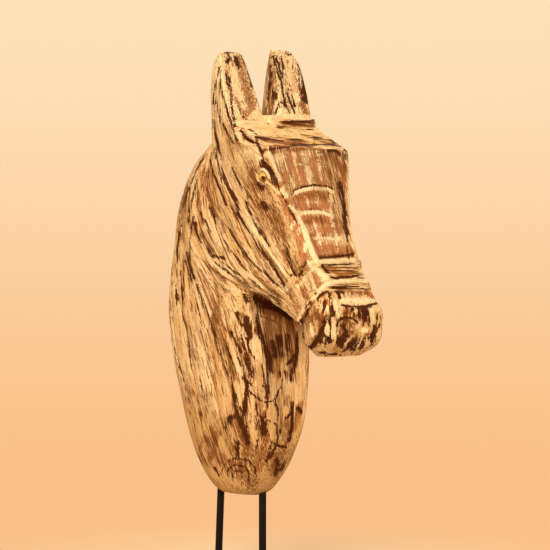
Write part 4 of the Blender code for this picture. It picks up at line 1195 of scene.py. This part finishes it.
plate = bmesh.new()
bmesh.ops.create_cube(plate, size=1)
bmesh.ops.scale(plate, vec=(PLATE_LENGTH, PLATE_WIDTH, PLATE_THICKNESS), verts=plate.verts)
bmesh.ops.translate(plate, vec=(0, 0, PLATE_THICKNESS / 2), verts=plate.verts)
upright = [e for e in plate.edges if abs(e.verts[0].co.z - e.verts[1].co.z) > 0.001]
bmesh.ops.bevel(
    plate, geom=upright, offset=PLATE_CORNER, segments=10, affect="EDGES", profile=0.5, material=-1
)
rims = [
    e for e in plate.edges if e.verts[0].co.z == e.verts[1].co.z and len(e.link_faces) == 2
    and {round(abs(f.normal.z)) for f in e.link_faces} == {0, 1}
]
bmesh.ops.bevel(
    plate, geom=rims, offset=PLATE_EDGE, segments=3, affect="EDGES", profile=0.5, material=-1
)
plate_mesh = finished(plate, "steel_plate")
spots, _ = read_surface(plate_mesh)
plate_middle = np.sum(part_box("base_plate"), axis=0) / 2
spots[:, :2] += plate_middle[:2] - (spots.max(axis=0) + spots.min(axis=0))[:2] / 2
move_points(plate_mesh, spots)
from_end = PLATE_LENGTH / 2 - np.abs(spots[:, 0] - plate_middle[0])
from_side = PLATE_WIDTH / 2 - np.abs(spots[:, 1])
add_attribute(plate_mesh, "edge", ramp(np.minimum(from_end, from_side), 0.0022, 0.0006))
plate_mesh.materials.append(blackened("black_plate_paint", 0.45))
add_piece("steel_plate", plate_mesh, "base_plate")
plate_mesh.shade_flat()
for face in plate_mesh.polygons:
    face.use_smooth = abs(face.normal.z) < 0.99

# The room
# A pale sheet of floor that fades into the warm wall colour behind it, under soft light
# from the front and above.

WALL_LOW, WALL_HIGH = (0.95, 0.525, 0.245, 1), (0.99, 0.75, 0.475, 1)
FLOOR_COLOUR, FLOOR_RADIUS = (0.82, 0.62, 0.42, 1), 1.6
LIT_POINT, SENSOR_WIDTH = Vector((0, 0, 0.45)), 36

# Each lamp's place, its width in metres, its power and its colour
for name, spot, size, energy, colour in (
    ("key", (1.5, -2.3, 1.7), 0.9, 80, (1.0, 0.88, 0.70)),
    ("fill", (2.6, -0.2, 1.0), 1.4, 16, (1.0, 0.88, 0.72)),
    ("top", (-0.1, 0.2, 2.6), 1.2, 13, (1.0, 0.88, 0.70)),
    ("back", (-1.9, 2.2, 1.3), 1.4, 26, (1.0, 0.88, 0.72)),
):
    lamp = bpy.data.lights.new(name, "AREA")
    lamp.size, lamp.energy, lamp.color = size, energy, colour
    light = put(name, lamp)
    light.location = spot
    light.rotation_euler = (LIT_POINT - Vector(spot)).to_track_quat("-Z", "Y").to_euler()

world = bpy.data.worlds.new("studio")
bpy.context.scene.world = world
world.use_nodes = True
sky = world.node_tree
toward = wire(sky, "TexCoord", {}).node.outputs["Generated"]
height = wire(sky, "SeparateXYZ", {"Vector": toward}).node.outputs["Z"]
wall = blend_of(sky, step_of(sky, height, -0.14, 0.17), WALL_LOW, WALL_HIGH)
backdrop = sky.nodes["Background"]
sky.links.new(wall, backdrop.inputs["Color"])
straight = wire(sky, "LightPath", {}).node.outputs["Is Camera Ray"]
sky.links.new(math_of(sky, "MULTIPLY_ADD", straight, 0.5, 0.5), backdrop.inputs["Strength"])

disc = bmesh.new()
bmesh.ops.create_circle(disc, cap_ends=True, radius=FLOOR_RADIUS, segments=96)
floor = put("floor", finished(disc, "floor"))
floor_paint, tree, shader = new_material("floor_paint")
reach = wire(tree, "VectorMath", {0: place_of(tree)}, operation="LENGTH").node.outputs["Value"]
fade = math_of(tree, "SUBTRACT", 1.0, step_of(tree, reach, 0.16, 0.75))
tree.links.new(fade, shader.inputs["Alpha"])
shader.inputs["Base Color"].default_value = FLOOR_COLOUR
shader.inputs["Roughness"].default_value = 0.7
floor.data.materials.append(floor_paint)

camera_data = bpy.data.cameras.new("camera")
camera = put("camera", camera_data)
bpy.context.scene.camera = camera
camera_data.sensor_width = SENSOR_WIDTH
camera_data.lens = SENSOR_WIDTH * SHEET_UNITS_A_METRE / SHEET_WIDTH
camera.location = Vector(view_centre + toward_view * VIEW_DISTANCE)
camera.rotation_euler = Vector(-toward_view).to_track_quat("-Z", "Y").to_euler()
bpy.context.scene.view_settings.view_transform = "Standard"
